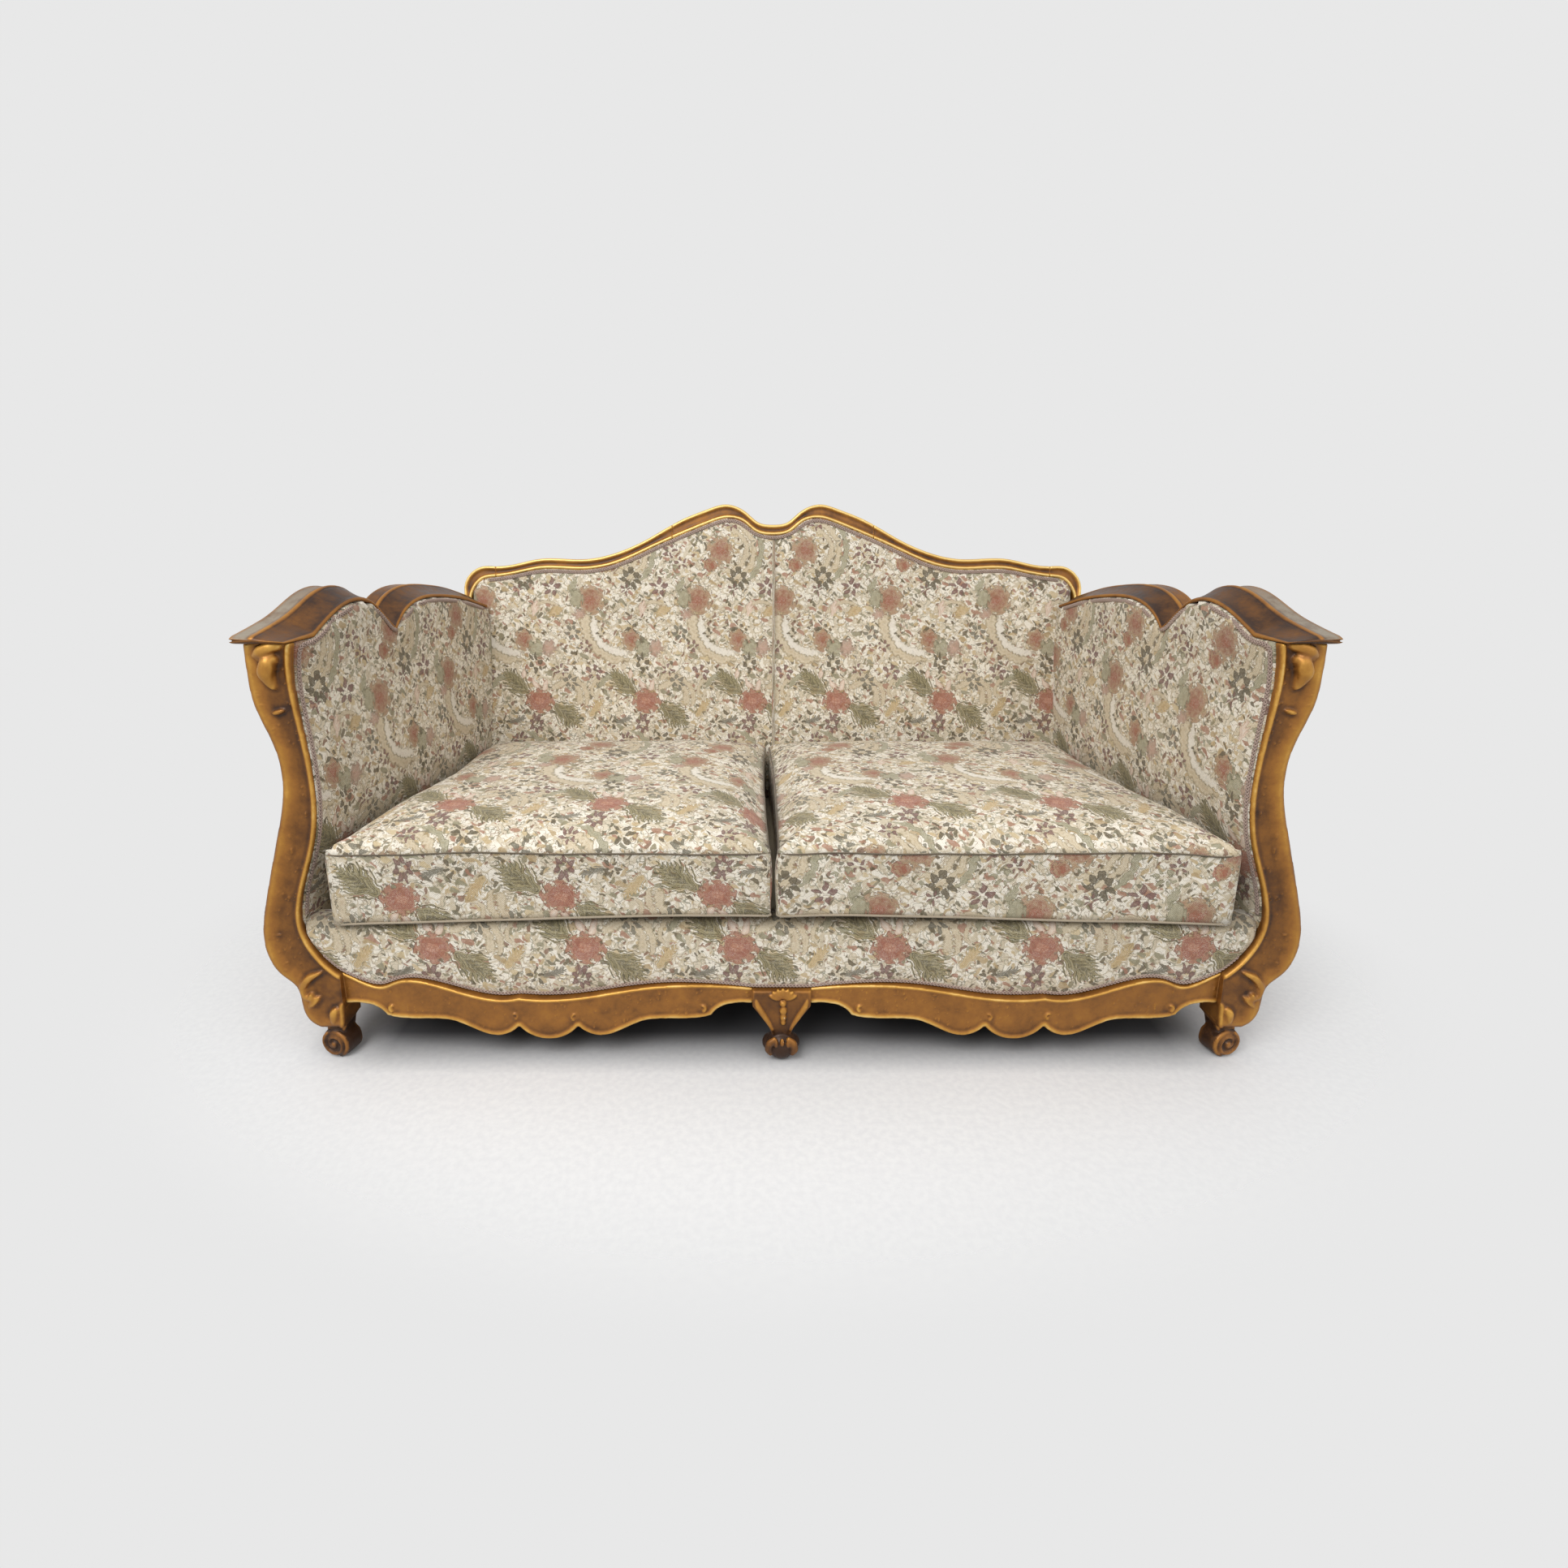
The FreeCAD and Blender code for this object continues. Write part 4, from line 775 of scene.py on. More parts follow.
# shape, across, up, size in metres, width to length, turn in degrees, petals or half arc, dye
motifs = [
    ("arc", 0.100, 0.262, 0.090, 0.12, 218, 48, "beige"), ("arc", 0.104, 0.262, 0.074, 0.13, 222, 46, "pale"),
    ("arc", 0.092, 0.440, 0.052, 0.13, -6, 78, "beige"), ("arc", 0.092, 0.440, 0.072, 0.09, 0, 66, "beige"),
    ("arc", 0.092, 0.440, 0.090, 0.07, 8, 52, "sage"), ("arc", 0.055, 0.092, 0.030, 0.16, 120, 80, "beige"),
    ("arc", 0.225, 0.078, 0.036, 0.26, 60, 80, "beige"), ("arc", 0.225, 0.078, 0.054, 0.12, 50, 64, "beige"),
    ("arc", 0.080, 0.098, 0.034, 0.24, 95, 64, "sage"), ("arc", 0.180, 0.262, 0.050, 0.10, 95, 50, "beige"),
    ("leaf", 0.102, 0.112, 0.046, 0.50, 138, 7, "olive"), ("leaf", 0.228, 0.034, 0.047, 0.54, -38, 7, "olive"),
    ("leaf", 0.034, 0.050, 0.026, 0.46, 50, 5, "ochre"), ("leaf", 0.150, 0.108, 0.018, 0.42, 112, 0, "petal"),
    ("leaf", 0.172, 0.108, 0.018, 0.42, 66, 0, "petal"), ("leaf", 0.120, 0.136, 0.014, 0.5, 80, 0, "petal"),
    ("leaf", 0.205, 0.292, 0.026, 0.40, 24, 4, "ochre"), ("leaf", 0.152, 0.298, 0.020, 0.50, 70, 3, "petal"),
    ("leaf", 0.052, 0.404, 0.020, 0.55, 80, 0, "rust"), ("leaf", 0.100, 0.020, 0.024, 0.34, 20, 5, "slate"),
    ("leaf", 0.246, 0.352, 0.024, 0.36, 64, 5, "sage"), ("bloom", 0.160, 0.068, 0.036, 0.86, 0, 8, "rust"),
    ("bloom", 0.123, 0.222, 0.023, 1.2, 20, 6, "brownRust"), ("bloom", 0.155, 0.200, 0.022, 1.0, 0, 5, "sage"),
    ("bloom", 0.186, 0.200, 0.019, 1.1, 0, 6, "pink"), ("bloom", 0.023, 0.318, 0.036, 1.1, 30, 7, "brownRust"),
    ("bloom", 0.256, 0.324, 0.019, 1.3, 0, 5, "sage"), ("bloom", 0.262, 0.284, 0.016, 0.9, 0, 6, "pink"),
    ("bloom", 0.080, 0.440, 0.033, 1.1, 12, 7, "brownRust"),
    ("bloom", 0.060, 0.404, 0.015, 1.0, 0, 5, "brownRust"),
    ("sprig", 0.030, 0.140, 0.022, 1, 10, 5, "plum"), ("sprig", 0.240, 0.116, 0.020, 1, 40, 6, "slate"),
    ("sprig", 0.213, 0.146, 0.017, 1, 0, 5, "plum"), ("sprig", 0.050, 0.236, 0.013, 1, 0, 4, "dark"),
    ("sprig", 0.124, 0.252, 0.013, 1.5, 30, 4, "dark"), ("sprig", 0.152, 0.162, 0.018, 1.6, 20, 6, "dark"),
    ("sprig", 0.192, 0.350, 0.024, 1, 12, 5, "plum"), ("sprig", 0.124, 0.372, 0.026, 1.2, 30, 7, "dark"),
    ("sprig", 0.110, 0.345, 0.015, 1, 0, 5, "plum"), ("sprig", 0.226, 0.388, 0.018, 1.2, 50, 6, "sage"),
    ("sprig", 0.220, 0.440, 0.019, 1, 0, 5, "plum"), ("sprig", 0.250, 0.410, 0.017, 1, 30, 5, "plum"),
    ("sprig", 0.165, 0.465, 0.012, 1, 0, 4, "slate"), ("sprig", 0.030, 0.475, 0.016, 1.3, 0, 5, "slate"),
    ("sprig", 0.110, 0.505, 0.018, 1.1, 20, 6, "plum"), ("sprig", 0.200, 0.505, 0.020, 1.2, 60, 6, "dark"),
    ("sprig", 0.010, 0.205, 0.016, 1.1, 0, 5, "plum"), ("sprig", 0.245, 0.240, 0.018, 1.2, 70, 6, "slate"),
    ("sprig", 0.070, 0.012, 0.016, 1.2, 15, 5, "dark"), ("sprig", 0.150, 0.012, 0.020, 1.4, 8, 7, "plum"),
]


def shapeGroup(shape):
    # one drawn shape as a node group: its level is under 0.8 inside the shape. All of it is plain
    # numbers, because a change between kinds of value in each motif fills the shader's memory.
    tree = bpy.data.node_groups.new("drawn_" + shape, "ShaderNodeTree")
    for name in ("u", "v", "u0", "v0", "cosine", "sine", "long", "count", "ragged"):
        tree.interface.new_socket(name=name, in_out="INPUT", socket_type="NodeSocketFloat")
    tree.interface.new_socket(name="level", in_out="OUTPUT", socket_type="NodeSocketFloat")
    given = tree.nodes.new("NodeGroupInput").outputs
    wide, high = cloth["repeat"]

    a = add(tree, "Math", given["u"], given["u0"], operation="SUBTRACT")
    a = add(tree, "Math", a, wide / 2, -wide / 2, operation="WRAP")
    b = add(tree, "Math", given["v"], given["v0"], operation="SUBTRACT")
    b = add(tree, "Math", b, high / 2, -high / 2, operation="WRAP")
    x = add(tree, "Math", b, given["sine"], operation="MULTIPLY")
    x = add(tree, "Math", a, given["cosine"], x, operation="MULTIPLY_ADD")
    y = add(tree, "Math", b, given["cosine"], operation="MULTIPLY")
    y = add(tree, "Math", y, add(tree, "Math", a, given["sine"], operation="MULTIPLY"), operation="SUBTRACT")
    if shape != "arc":
        y = add(tree, "Math", y, given["long"], operation="MULTIPLY")
    radius = add(tree, "Math", x, x, add(tree, "Math", y, y, operation="MULTIPLY"), operation="MULTIPLY_ADD")
    radius = add(tree, "Math", radius, operation="SQRT")
    angle = add(tree, "Math", y, x, operation="ARCTAN2")
    if shape == "arc":
        off = add(tree, "Math", add(tree, "Math", radius, 1.0, operation="SUBTRACT"), operation="ABSOLUTE")
        over = add(tree, "Math", angle, operation="ABSOLUTE")
        over = add(tree, "Math", over, given["count"], operation="SUBTRACT")
        over = add(tree, "Math", add(tree, "Math", over, 0.0, operation="MAXIMUM"), 3.0, operation="MULTIPLY")
        level = add(tree, "Math", off, given["long"], over, operation="MULTIPLY_ADD")
        notches = add(tree, "Math", add(tree, "Math", angle, 46.0, operation="MULTIPLY"), operation="SINE")
        level = add(tree, "Math", notches, 0.16, level, operation="MULTIPLY_ADD")
    elif shape == "leaf":
        side = add(tree, "Math", y, operation="ABSOLUTE")
        veins = add(tree, "Math", add(tree, "Math", x, side, operation="SUBTRACT"), given["count"],
                    operation="MULTIPLY")
        veins = add(tree, "Math", veins, operation="SINE")
        level = add(tree, "Math", side, add(tree, "Math", x, x, operation="MULTIPLY"), operation="ADD")
        level = add(tree, "Math", veins, 0.28, level, operation="MULTIPLY_ADD")
    elif shape == "sprig":                    # leaflets round a centre
        half = add(tree, "Math", given["count"], 0.5, operation="MULTIPLY")
        half = add(tree, "Math", add(tree, "Math", angle, half, operation="MULTIPLY"), operation="SINE")
        beside = add(tree, "Math", half, radius, operation="MULTIPLY")
        beside = add(tree, "Math", beside, add(tree, "Math", given["count"], 0.085, operation="MULTIPLY"),
                     operation="DIVIDE")
        beyond = add(tree, "Math", add(tree, "Math", radius, 0.66, operation="SUBTRACT"), 2.9,
                     operation="MULTIPLY")
        beyond = add(tree, "Math", beyond, beyond, operation="MULTIPLY")
        level = add(tree, "Math", beside, beside, beyond, operation="MULTIPLY_ADD")
        level = add(tree, "Math", level, operation="SQRT")
    else:                                     # bloom: lobed outline and inner rows of petals
        petals = add(tree, "Math", angle, given["count"], operation="MULTIPLY")
        petals = add(tree, "Math", petals, operation="COSINE")
        level = add(tree, "Math", petals, -0.14, 1.07, operation="MULTIPLY_ADD")
        level = add(tree, "Math", radius, level, operation="MULTIPLY")
        folds = add(tree, "Math", radius, 19.0, petals, operation="MULTIPLY_ADD")
        folds = add(tree, "Math", folds, operation="SINE")
        level = add(tree, "Math", folds, 0.13, level, operation="MULTIPLY_ADD")
    level = add(tree, "Math", level, given["ragged"], operation="ADD")
    level = add(tree, "Math", level, 0.8, operation="MULTIPLY")
    tree.links.new(level.outputs[0], tree.nodes.new("NodeGroupOutput").inputs[0])
    return tree


def drawTapestry(tree):
    # gives the colour and the height of the weave
    uv = add(tree, "UVMap", uv_map="cloth")
    wide, high = cloth["repeat"]
    turns = add(tree, "VectorMath", uv, (2 * math.pi / wide, 2 * math.pi / high, 0), operation="MULTIPLY")
    parts = add(tree, "SeparateXYZ", turns)
    waves = []
    for k in (0, 1):
        for way in ("SINE", "COSINE"):
            wave = add(tree, "Math", parts.outputs[k], operation=way)
            waves.append(add(tree, "Math", wave, 1.0 + k, operation="MULTIPLY"))
    ring = add(tree, "CombineXYZ", *waves[:3])          # noise that repeats with the pattern
    drift = add(tree, "TexNoise", noise_dimensions="4D", sockets={
        "Vector": ring.outputs[0], "W": waves[3].outputs[0], "Scale": 2.6, "Detail": 1.0})
    parts = add(tree, "SeparateColor", drift.outputs["Color"])
    shake = add(tree, "CombineXYZ", parts.outputs[0], parts.outputs[1], 0.0)
    shake = add(tree, "VectorMath", shake, (0.5, 0.5, 0), operation="SUBTRACT")
    shake = add(tree, "VectorMath", shake, (0.018, 0.018, 0), operation="MULTIPLY")
    drawn = add(tree, "VectorMath", uv, shake, operation="ADD")
    colour = add(tree, "RGB")
    colour.outputs[0].default_value = linear(cloth["ground"])
    fine = add(tree, "TexNoise", uv, sockets={"Scale": 260.0, "Detail": 2.0}, noise_dimensions="2D")
    mottle = add(tree, "TexNoise", uv, sockets={"Scale": 620.0, "Detail": 1.0}, noise_dimensions="2D")
    # tendrils: the level lines of soft noises
    for scale, low, width, tone in ((1.15, 0.5, 0.050, "#D3C6AD"), (1.9, 0.52, 0.040, "#CBBDA2"),
                                    (2.3, 0.47, 0.016, "#8E8B76"), (3.2, 0.53, 0.016, "#A08E78")):
        soft = add(tree, "TexNoise", noise_dimensions="4D", sockets={
            "Vector": ring.outputs[0], "W": waves[3].outputs[0], "Scale": scale, "Detail": 1.5})
        away = add(tree, "Math", add(tree, "Math", soft, low, operation="SUBTRACT"), operation="ABSOLUTE")
        line = add(tree, "MapRange", away, width, width * 0.5, 0.0, 0.85)
        colour = add(tree, "MixRGB", line, colour, linear(tone))
    # small leaves and buds scattered between the flowers
    for turn, along, tone in ((0.6, (170, 78, 1), ["#6C6048", "#8A8062", "#85644F", "#BDA67E"]),
                              (-0.9, (190, 84, 1), ["#A77C66", "#77705A", "#C4AD84", "#62563F"]),
                              (2.0, (120, 62, 1), ["#B49C74", "#948D72", "#A97F68", "#CDB992"])):
        spun = add(tree, "VectorRotate", drawn, (0, 0, 0), (0, 0, 1), turn, rotation_type="Z_AXIS")
        spun = add(tree, "VectorMath", spun, along, operation="MULTIPLY")
        bits = add(tree, "TexVoronoi", spun, voronoi_dimensions="2D",
                   sockets={"Scale": 0.52, "Randomness": 1.0})
        chance = add(tree, "SeparateColor", bits.outputs["Color"])
        reach = add(tree, "Math", chance.outputs[1], 0.47, -0.14, operation="MULTIPLY_ADD")
        reach = add(tree, "Math", fine, 0.16, reach, operation="MULTIPLY_ADD")
        cover = add(tree, "Math", reach, bits.outputs["Distance"], operation="SUBTRACT")
        cover = add(tree, "MapRange", cover, 0.02, 0.07, 0.0, 0.85)
        dyed = add(tree, "ValToRGB", chance.outputs[0],
                   stops=[(0.25 * k, linear(c)) for k, c in enumerate(tone)])
        dyed.color_ramp.interpolation = "CONSTANT"
        colour = add(tree, "MixRGB", cover, colour, dyed)
    ragged = add(tree, "MapRange", fine, 0.25, 0.75, -0.11, 0.11)
    dither = add(tree, "MapRange", mottle, 0.40, 0.58, 0.74, 1.0)
    places = add(tree, "SeparateXYZ", drawn).outputs
    groups = {shape: shapeGroup(shape) for shape in ("arc", "leaf", "bloom", "sprig")}
    for shape, across, up, size, width, turn, count, dye in motifs:
        cosine, sine = math.cos(math.radians(turn)) / size, math.sin(math.radians(turn)) / size
        number = {"arc": math.radians(count), "leaf": count * 3.0}.get(shape, float(count))
        level = add(tree, "Group", node_tree=groups[shape])
        for key, value in zip(level.inputs.keys(), (places[0], places[1], across, up, cosine, sine, 1 / width,
                                                    number, ragged.outputs[0])):
            if isinstance(value, bpy.types.NodeSocket):
                tree.links.new(value, level.inputs[key])
            else:
                level.inputs[key].default_value = value
        stops = [(place, linear(tone)) for place, tone in dyes[dye]] + [(0.83, linear(dyes[dye][-1][1], 0.0))]
        tint = add(tree, "ValToRGB", level, stops=stops)
        cover = add(tree, "Math", tint.outputs["Alpha"], dither, operation="MULTIPLY")
        colour = add(tree, "MixRGB", cover, colour, tint)
    return uv, colour


def weave(tree, uv, pitch):
    # crossing threads, drawn coarser than the real 0.5 mm so that they show
    wave = add(tree, "VectorMath", uv, (math.pi / pitch,) * 3, operation="MULTIPLY")
    split = add(tree, "SeparateXYZ", wave)
    rows = [add(tree, "Math", split.outputs[k], operation="SINE") for k in (0, 1)]
    both = add(tree, "Math", rows[0], rows[1], operation="MULTIPLY")
    return add(tree, "Math", both, 0.5, 0.5, operation="MULTIPLY_ADD")


def wovenCloth(name, colourOf, rough=0.9, pitch=cloth["thread"]):
    material, tree = newMaterial(name)
    uv, colour = colourOf(tree)
    threads = weave(tree, uv, pitch)
    place = add(tree, "TexCoord").outputs["Object"]
    slub = add(tree, "TexNoise", place, sockets={"Scale": 420.0, "Detail": 2.0})
    dirt = add(tree, "TexNoise", place, sockets={"Scale": 7.0, "Detail": 3.0})
    paintedShade = add(tree, "Attribute", attribute_name="paintedShade").outputs["Fac"]
    shade = add(tree, "MapRange", slub, 0.3, 0.7, 0.90, 1.06)
    # the last factor is painted shade from a mark on the points: seams, creases and the border under the
    # cushions darken to 0.55
    for source, *span in ((threads, 0.0, 1.0, 0.95, 1.03), (dirt, 0.35, 0.65, 0.95, 1.03),
                          (paintedShade, 0.0, 1.0, 1.0, 0.55)):
        shade = add(tree, "Math", shade, add(tree, "MapRange", source, *span), operation="MULTIPLY")
    shades = add(tree, "CombineXYZ", shade, shade, shade)
    colour = add(tree, "VectorMath", colour, shades, operation="MULTIPLY")
    height = add(tree, "Math", threads, add(tree, "Math", slub, 0.8, operation="MULTIPLY"), operation="ADD")
    bump = add(tree, "Bump", sockets={"Strength": 0.5, "Distance": 0.0007, "Height": height.outputs[0]})
    shader = add(tree, "BsdfPrincipled", sockets={
        "Base Color": colour, "Roughness": rough, "Normal": bump, "Sheen Weight": 0.12, "Sheen Roughness": 0.5})
    add(tree, "OutputMaterial", shader)
    return material


def plainCloth(tone):
    def draw(tree):
        uv = add(tree, "UVMap", uv_map="cloth")
        colour = add(tree, "RGB")
        colour.outputs[0].default_value = linear(tone)
        return uv, colour
    return draw


tapestry = wovenCloth("floral_jacquard_tapestry", drawTapestry)
# the welt is a real cord, drawn darker than the cloth as painted shade in the gap under the bottom seam
welting = wovenCloth("cotton_welt_darkened_as_seam_shade", plainCloth("#A69984"))
# painted shadow: a dark cord that stands for the shadow line of the cushions' top seam
seamShadowCord = wovenCloth("dark_cord_as_seam_shadow", plainCloth("#6B5F4E"))
platformCloth = wovenCloth("calico_platform_cloth", plainCloth("#C9BEA6"))
cambric = wovenCloth("black_cambric", plainCloth("#26241F"), rough=0.95)
braidYarn = wovenCloth("rayon_gimp_yarn", plainCloth("#AE988C"), rough=0.7, pitch=1.1 * mm)
print("cloth ready")


# upholstery fixed to the frame

def softNoise(a, b, seed):
    # slow waves that stand for the unevenness of hand stuffing, about -1 to 1
    total = 0
    for k in range(1, 6):
        across = np.sin(a * (5.1 + 3.7 * k) + seed * k)
        total = total + across * np.cos(b * (4.3 + 4.1 * k) + 1.7 * seed + k) / k
    return total / 1.6


def spanAt(low, high, shoot, step=0.003):
    # first and last place of a scanned line whose ray meets the node
    found = [v for v in np.arange(low, high, step) if shoot(v) is not None]
    if not found:
        return None
    ends = []
    for inside, outside in ((found[0], found[0] - step), (found[-1], found[-1] + step)):
        for _ in range(5):
            middle = (inside + outside) / 2
            if shoot(middle) is not None:
                inside = middle
            else:
                outside = middle
        ends.append(inside)
    return ends


def fromEdges(grid):
    # distance of each grid point from the nearest edge of its grid, measured along the surface
    rows = np.concatenate([np.zeros((1, grid.shape[1])),
                           np.cumsum(np.linalg.norm(np.diff(grid, axis=0), axis=-1), axis=0)])
    cols = np.concatenate([np.zeros((grid.shape[0], 1)),
                           np.cumsum(np.linalg.norm(np.diff(grid, axis=1), axis=-1), axis=1)], axis=1)
    return np.minimum.reduce([rows, rows[-1:] - rows, cols, cols[:, -1:] - cols])


def padSlab(name, node, front, back, uv, material=None, paintedShade=None):
    points, faces = slab(front, back)
    flat = uv.reshape(-1, 2)
    clean = np.zeros(len(flat))
    marks = {"paintedShade": np.concatenate([clean if paintedShade is None else paintedShade.ravel(), clean])}
    piece = newPiece(name, points, faces, "frame", [material or tapestry],
                     uv=np.concatenate([flat, flat]), marks=marks)
    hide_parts(node)


# inside back: two widths of cloth, seamed down the middle
backPad = {"step": 0.008, "rows": 84, "half": 0.746, "bottom": 0.262, "puff": 8.5 * mm, "seam": 0.004}
columns = np.arange(-backPad["half"], backPad["half"] + 0.1 * mm, backPad["step"])
tops = []
for x in columns:
    span = spanAt(0.28, 1.0,
                  lambda s: hit("inside_back_pad", leaned(x, -0.3, s), -np.array(leanedFront)), 0.006)
    tops.append(span[1])
share = np.linspace(0, 1, backPad["rows"])[:, None]
x = np.repeat(columns[None], len(share), 0)
s = backPad["bottom"] + (np.array(tops)[None] - backPad["bottom"]) * share
flatFace = leaned(x, -0.0015, s)
edge = fromEdges(flatFace)
puff = backPad["puff"] * (1 - np.exp(-edge / 0.020))
puff += 1.1 * mm * softNoise(x, s, 2.0) * smoothstep(0, 0.05, edge)
fromSeam = x - backPad["seam"]
puff -= 3.6 * mm * np.exp(-(fromSeam / 0.0035) ** 2) + 3.0 * mm * np.exp(-(fromSeam / 0.014) ** 2)
puff += 0.5 * mm * np.sin(s * 210) * np.exp(-(fromSeam / 0.010) ** 2)
front = leaned(x, -0.0065 - puff, s)
uv = np.stack([np.where(x > backPad["seam"], x, x + 0.21), s - 0.44], -1)
# painted shade along the seam valley down the middle of the back
paintedSeamShade = np.exp(-(fromSeam / 0.0030) ** 2)
padSlab("inside_back_cover", "inside_back_pad", front, leaned(x, 0.012, s), uv, paintedShade=paintedSeamShade)
crestLine = leaned(columns, -0.0105, np.array(tops))
print("inside back done")

# arms, inside and outside
armLook = {"step": 0.0085, "rows": 64, "puff": 5.0 * mm, "notch": (-0.112, 0.735), "creaseEnd": (0.060, 0.500)}
armGrids = {}


def armSkin(node, s, inwards, name, creased):
    # inwards: -1 for the inside of the arm, seen from the seat, 1 for its outside
    start = 0.0 if inwards < 0 else 1.4 * s
    way = (s, 0, 0) if inwards < 0 else (-s, 0, 0)
    low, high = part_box(node)
    ys = np.linspace(low[1] + 0.0008, high[1] - 0.0008, int((high[1] - low[1]) / armLook["step"]))
    spans = [spanAt(low[2] - 0.004, high[2] + 0.004,
                    lambda z: hit(node, (start, y, z), way), 0.004) for y in ys]
    keep = [i for i, span in enumerate(spans) if span and span[1] - span[0] > 0.01]
    ys = ys[keep]
    spans = np.array([spans[i] for i in keep])
    share = np.linspace(0, 1, armLook["rows"])[:, None]
    z = spans[:, 0] + (spans[:, 1] - spans[:, 0]) * share
    y = np.repeat(ys[None], len(z), 0)
    x = np.zeros_like(z)
    for i in range(z.shape[0]):
        for j in range(z.shape[1]):
            found = hit(node, (start, y[i, j], z[i, j]), way)
            x[i, j] = found.x if found else x[i - 1, j]
    flatFace = np.stack([x, y, z], -1)
    edge = fromEdges(flatFace)
    puff = armLook["puff"] * (1 - np.exp(-edge / 0.016))
    puff += 0.9 * mm * softNoise(y, z, 3.0 + s) * smoothstep(0, 0.05, edge)
    if creased:
        # the cloth is pulled down from the notch towards the rear
        a, b = np.array(armLook["notch"]), np.array(armLook["creaseEnd"])
        along = (b - a) / np.linalg.norm(b - a)
        t = (y - a[0]) * along[0] + (z - a[1]) * along[1]
        off = (y - a[0]) * along[1] - (z - a[1]) * along[0]
        fadeOut = smoothstep(0.29, 0.06, t) * smoothstep(-0.02, 0.01, t)
        crease = 3.4 * mm * np.exp(-(off / 0.010) ** 2) - 1.6 * mm * np.exp(-((off - 0.022) / 0.014) ** 2)
        puff -= fadeOut * crease
    front = flatFace + np.stack([inwards * s * puff, 0 * puff, 0 * puff], -1)
    thickness = 0.018 if inwards < 0 else 0.004
    back = flatFace - np.stack([np.full_like(x, inwards * s * thickness), 0 * x, 0 * x], -1)
    along = -y if (s * inwards) < 0 else y          # the pattern reads the right way round from its own side
    uv = np.stack([along + 0.05 * s, z - 0.30], -1)
    if (s * inwards) > 0:
        front, back, uv = front[:, ::-1], back[:, ::-1], uv[:, ::-1]
    padSlab(name, node, front, back, uv)
    armGrids[node] = (flatFace, ys, spans)


for s in (left, right):
    armSkin("inside_arm_pad_" + sideNames[s], s, -1, "inside_arm_cover_" + sideNames[s], True)
    armSkin("outside_arm_panel_" + sideNames[s], s, 1, "outside_arm_cover_" + sideNames[s], False)
print("arms done")

# outside back: "face" and "rear" are how far behind the back's plane its two sides lie
outerBack = {"step": 0.016, "rows": 52, "half": 0.744, "face": 0.0665, "rear": 0.061, "puff": 3.5 * mm}
acrossBack = np.arange(-outerBack["half"], outerBack["half"] + 0.1 * mm, outerBack["step"])
spans = np.array([spanAt(0.10, 1.0, lambda s: hit("outside_back_panel", leaned(x, 0.3, s), leanedFront), 0.006)
                  for x in acrossBack])
share = np.linspace(0, 1, outerBack["rows"])[:, None]
s = spans[:, 0] + (spans[:, 1] - spans[:, 0]) * share
x = np.repeat(acrossBack[None], len(s), 0)
flatFace = leaned(x, outerBack["face"], s)
edge = fromEdges(flatFace)
puff = outerBack["puff"] * (1 - np.exp(-edge / 0.03))
puff += 0.7 * mm * softNoise(x, s, 5.0) * smoothstep(0, 0.05, edge)
uv = np.stack([-x, s - 0.44], -1)[:, ::-1]
padSlab("outside_back_cover", "outside_back_panel", leaned(x, outerBack["face"] + puff, s)[:, ::-1],
        leaned(x, outerBack["rear"], s)[:, ::-1], uv)

# stuffed front edge, over the aprons
border = {"step": 0.0075, "half": 0.834, "faceRows": 26, "rollRows": 8, "topRows": 5, "topStep": 0.005,
          "puff": 8.0 * mm, "round": 0.018, "thick": 0.040, "thin": 0.0045, "thickHalf": 0.70}
low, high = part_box("seat_front_border")
acrossFront = np.arange(-border["half"], border["half"] + 0.1 * mm, border["step"])
bottoms = np.array([hit("seat_front_border", (x, low[1] + 0.004, 0.0), (0, 0, 1)).z for x in acrossFront])
rows = []
nearest, topMost = low[1], high[2]
for i in range(border["faceRows"]):                 # up the face to where the top rolls back
    share = i / (border["faceRows"] - 1)
    rows.append((nearest, bottoms + (topMost - border["round"] - bottoms) * share))
for i in range(1, border["rollRows"] + 1):
    a = i / border["rollRows"] * math.pi / 2
    height = topMost - border["round"] * (1 - math.sin(a))
    rows.append((nearest + border["round"] * (1 - math.cos(a)), np.maximum(height, bottoms + 0.0005 * i)))
for i in range(1, border["topRows"] + 1):
    rows.append((nearest + border["round"] + i * border["topStep"], topMost))
rows = [np.stack(np.broadcast_arrays(acrossFront, y, z), -1) for y, z in rows]
flatFace = np.stack(rows)
edge = fromEdges(flatFace)
rollNormal = np.zeros_like(flatFace)
for i in range(len(rows)):
    a = min(1.0, max(0, i + 1 - border["faceRows"]) / border["rollRows"]) * math.pi / 2
    rollNormal[i, :, 1], rollNormal[i, :, 2] = -math.cos(a), math.sin(a) * 0.15
puff = border["puff"] * (1 - np.exp(-edge / 0.014))
puff += mm * softNoise(flatFace[..., 0], flatFace[..., 2], 8.0) * smoothstep(0, 0.03, edge)
front = flatFace + rollNormal * puff[..., None]
thick = np.where(np.abs(acrossFront) < border["thickHalf"], border["thick"], border["thin"])
back = flatFace.copy()
back[..., 1] = np.maximum(flatFace[..., 1] + border["thin"], nearest + thick[None])
rolls, level = border["faceRows"], border["faceRows"] + border["rollRows"]
back[level:, :, 2] -= 0.010
back[rolls:level, :, 2] = np.minimum(back[rolls:level, :, 2], topMost - 0.010)
lengths = np.cumsum(np.linalg.norm(np.diff(flatFace, axis=0), axis=-1), axis=0)
lengths = np.concatenate([np.zeros((1, len(acrossFront))), lengths])
uv = np.stack([flatFace[..., 0] - 0.03, (bottoms[None] + lengths) - 0.15], -1)
# painted shade over the top of the face, the roll and the top of the border, where the cushions overhang it
shaded = np.repeat(smoothstep(25, 28, np.arange(len(rows)))[:, None], len(acrossFront), 1) * 0.9
padSlab("seat_front_cover", "seat_front_border", front, back, uv, paintedShade=shaded)
print("front border done")

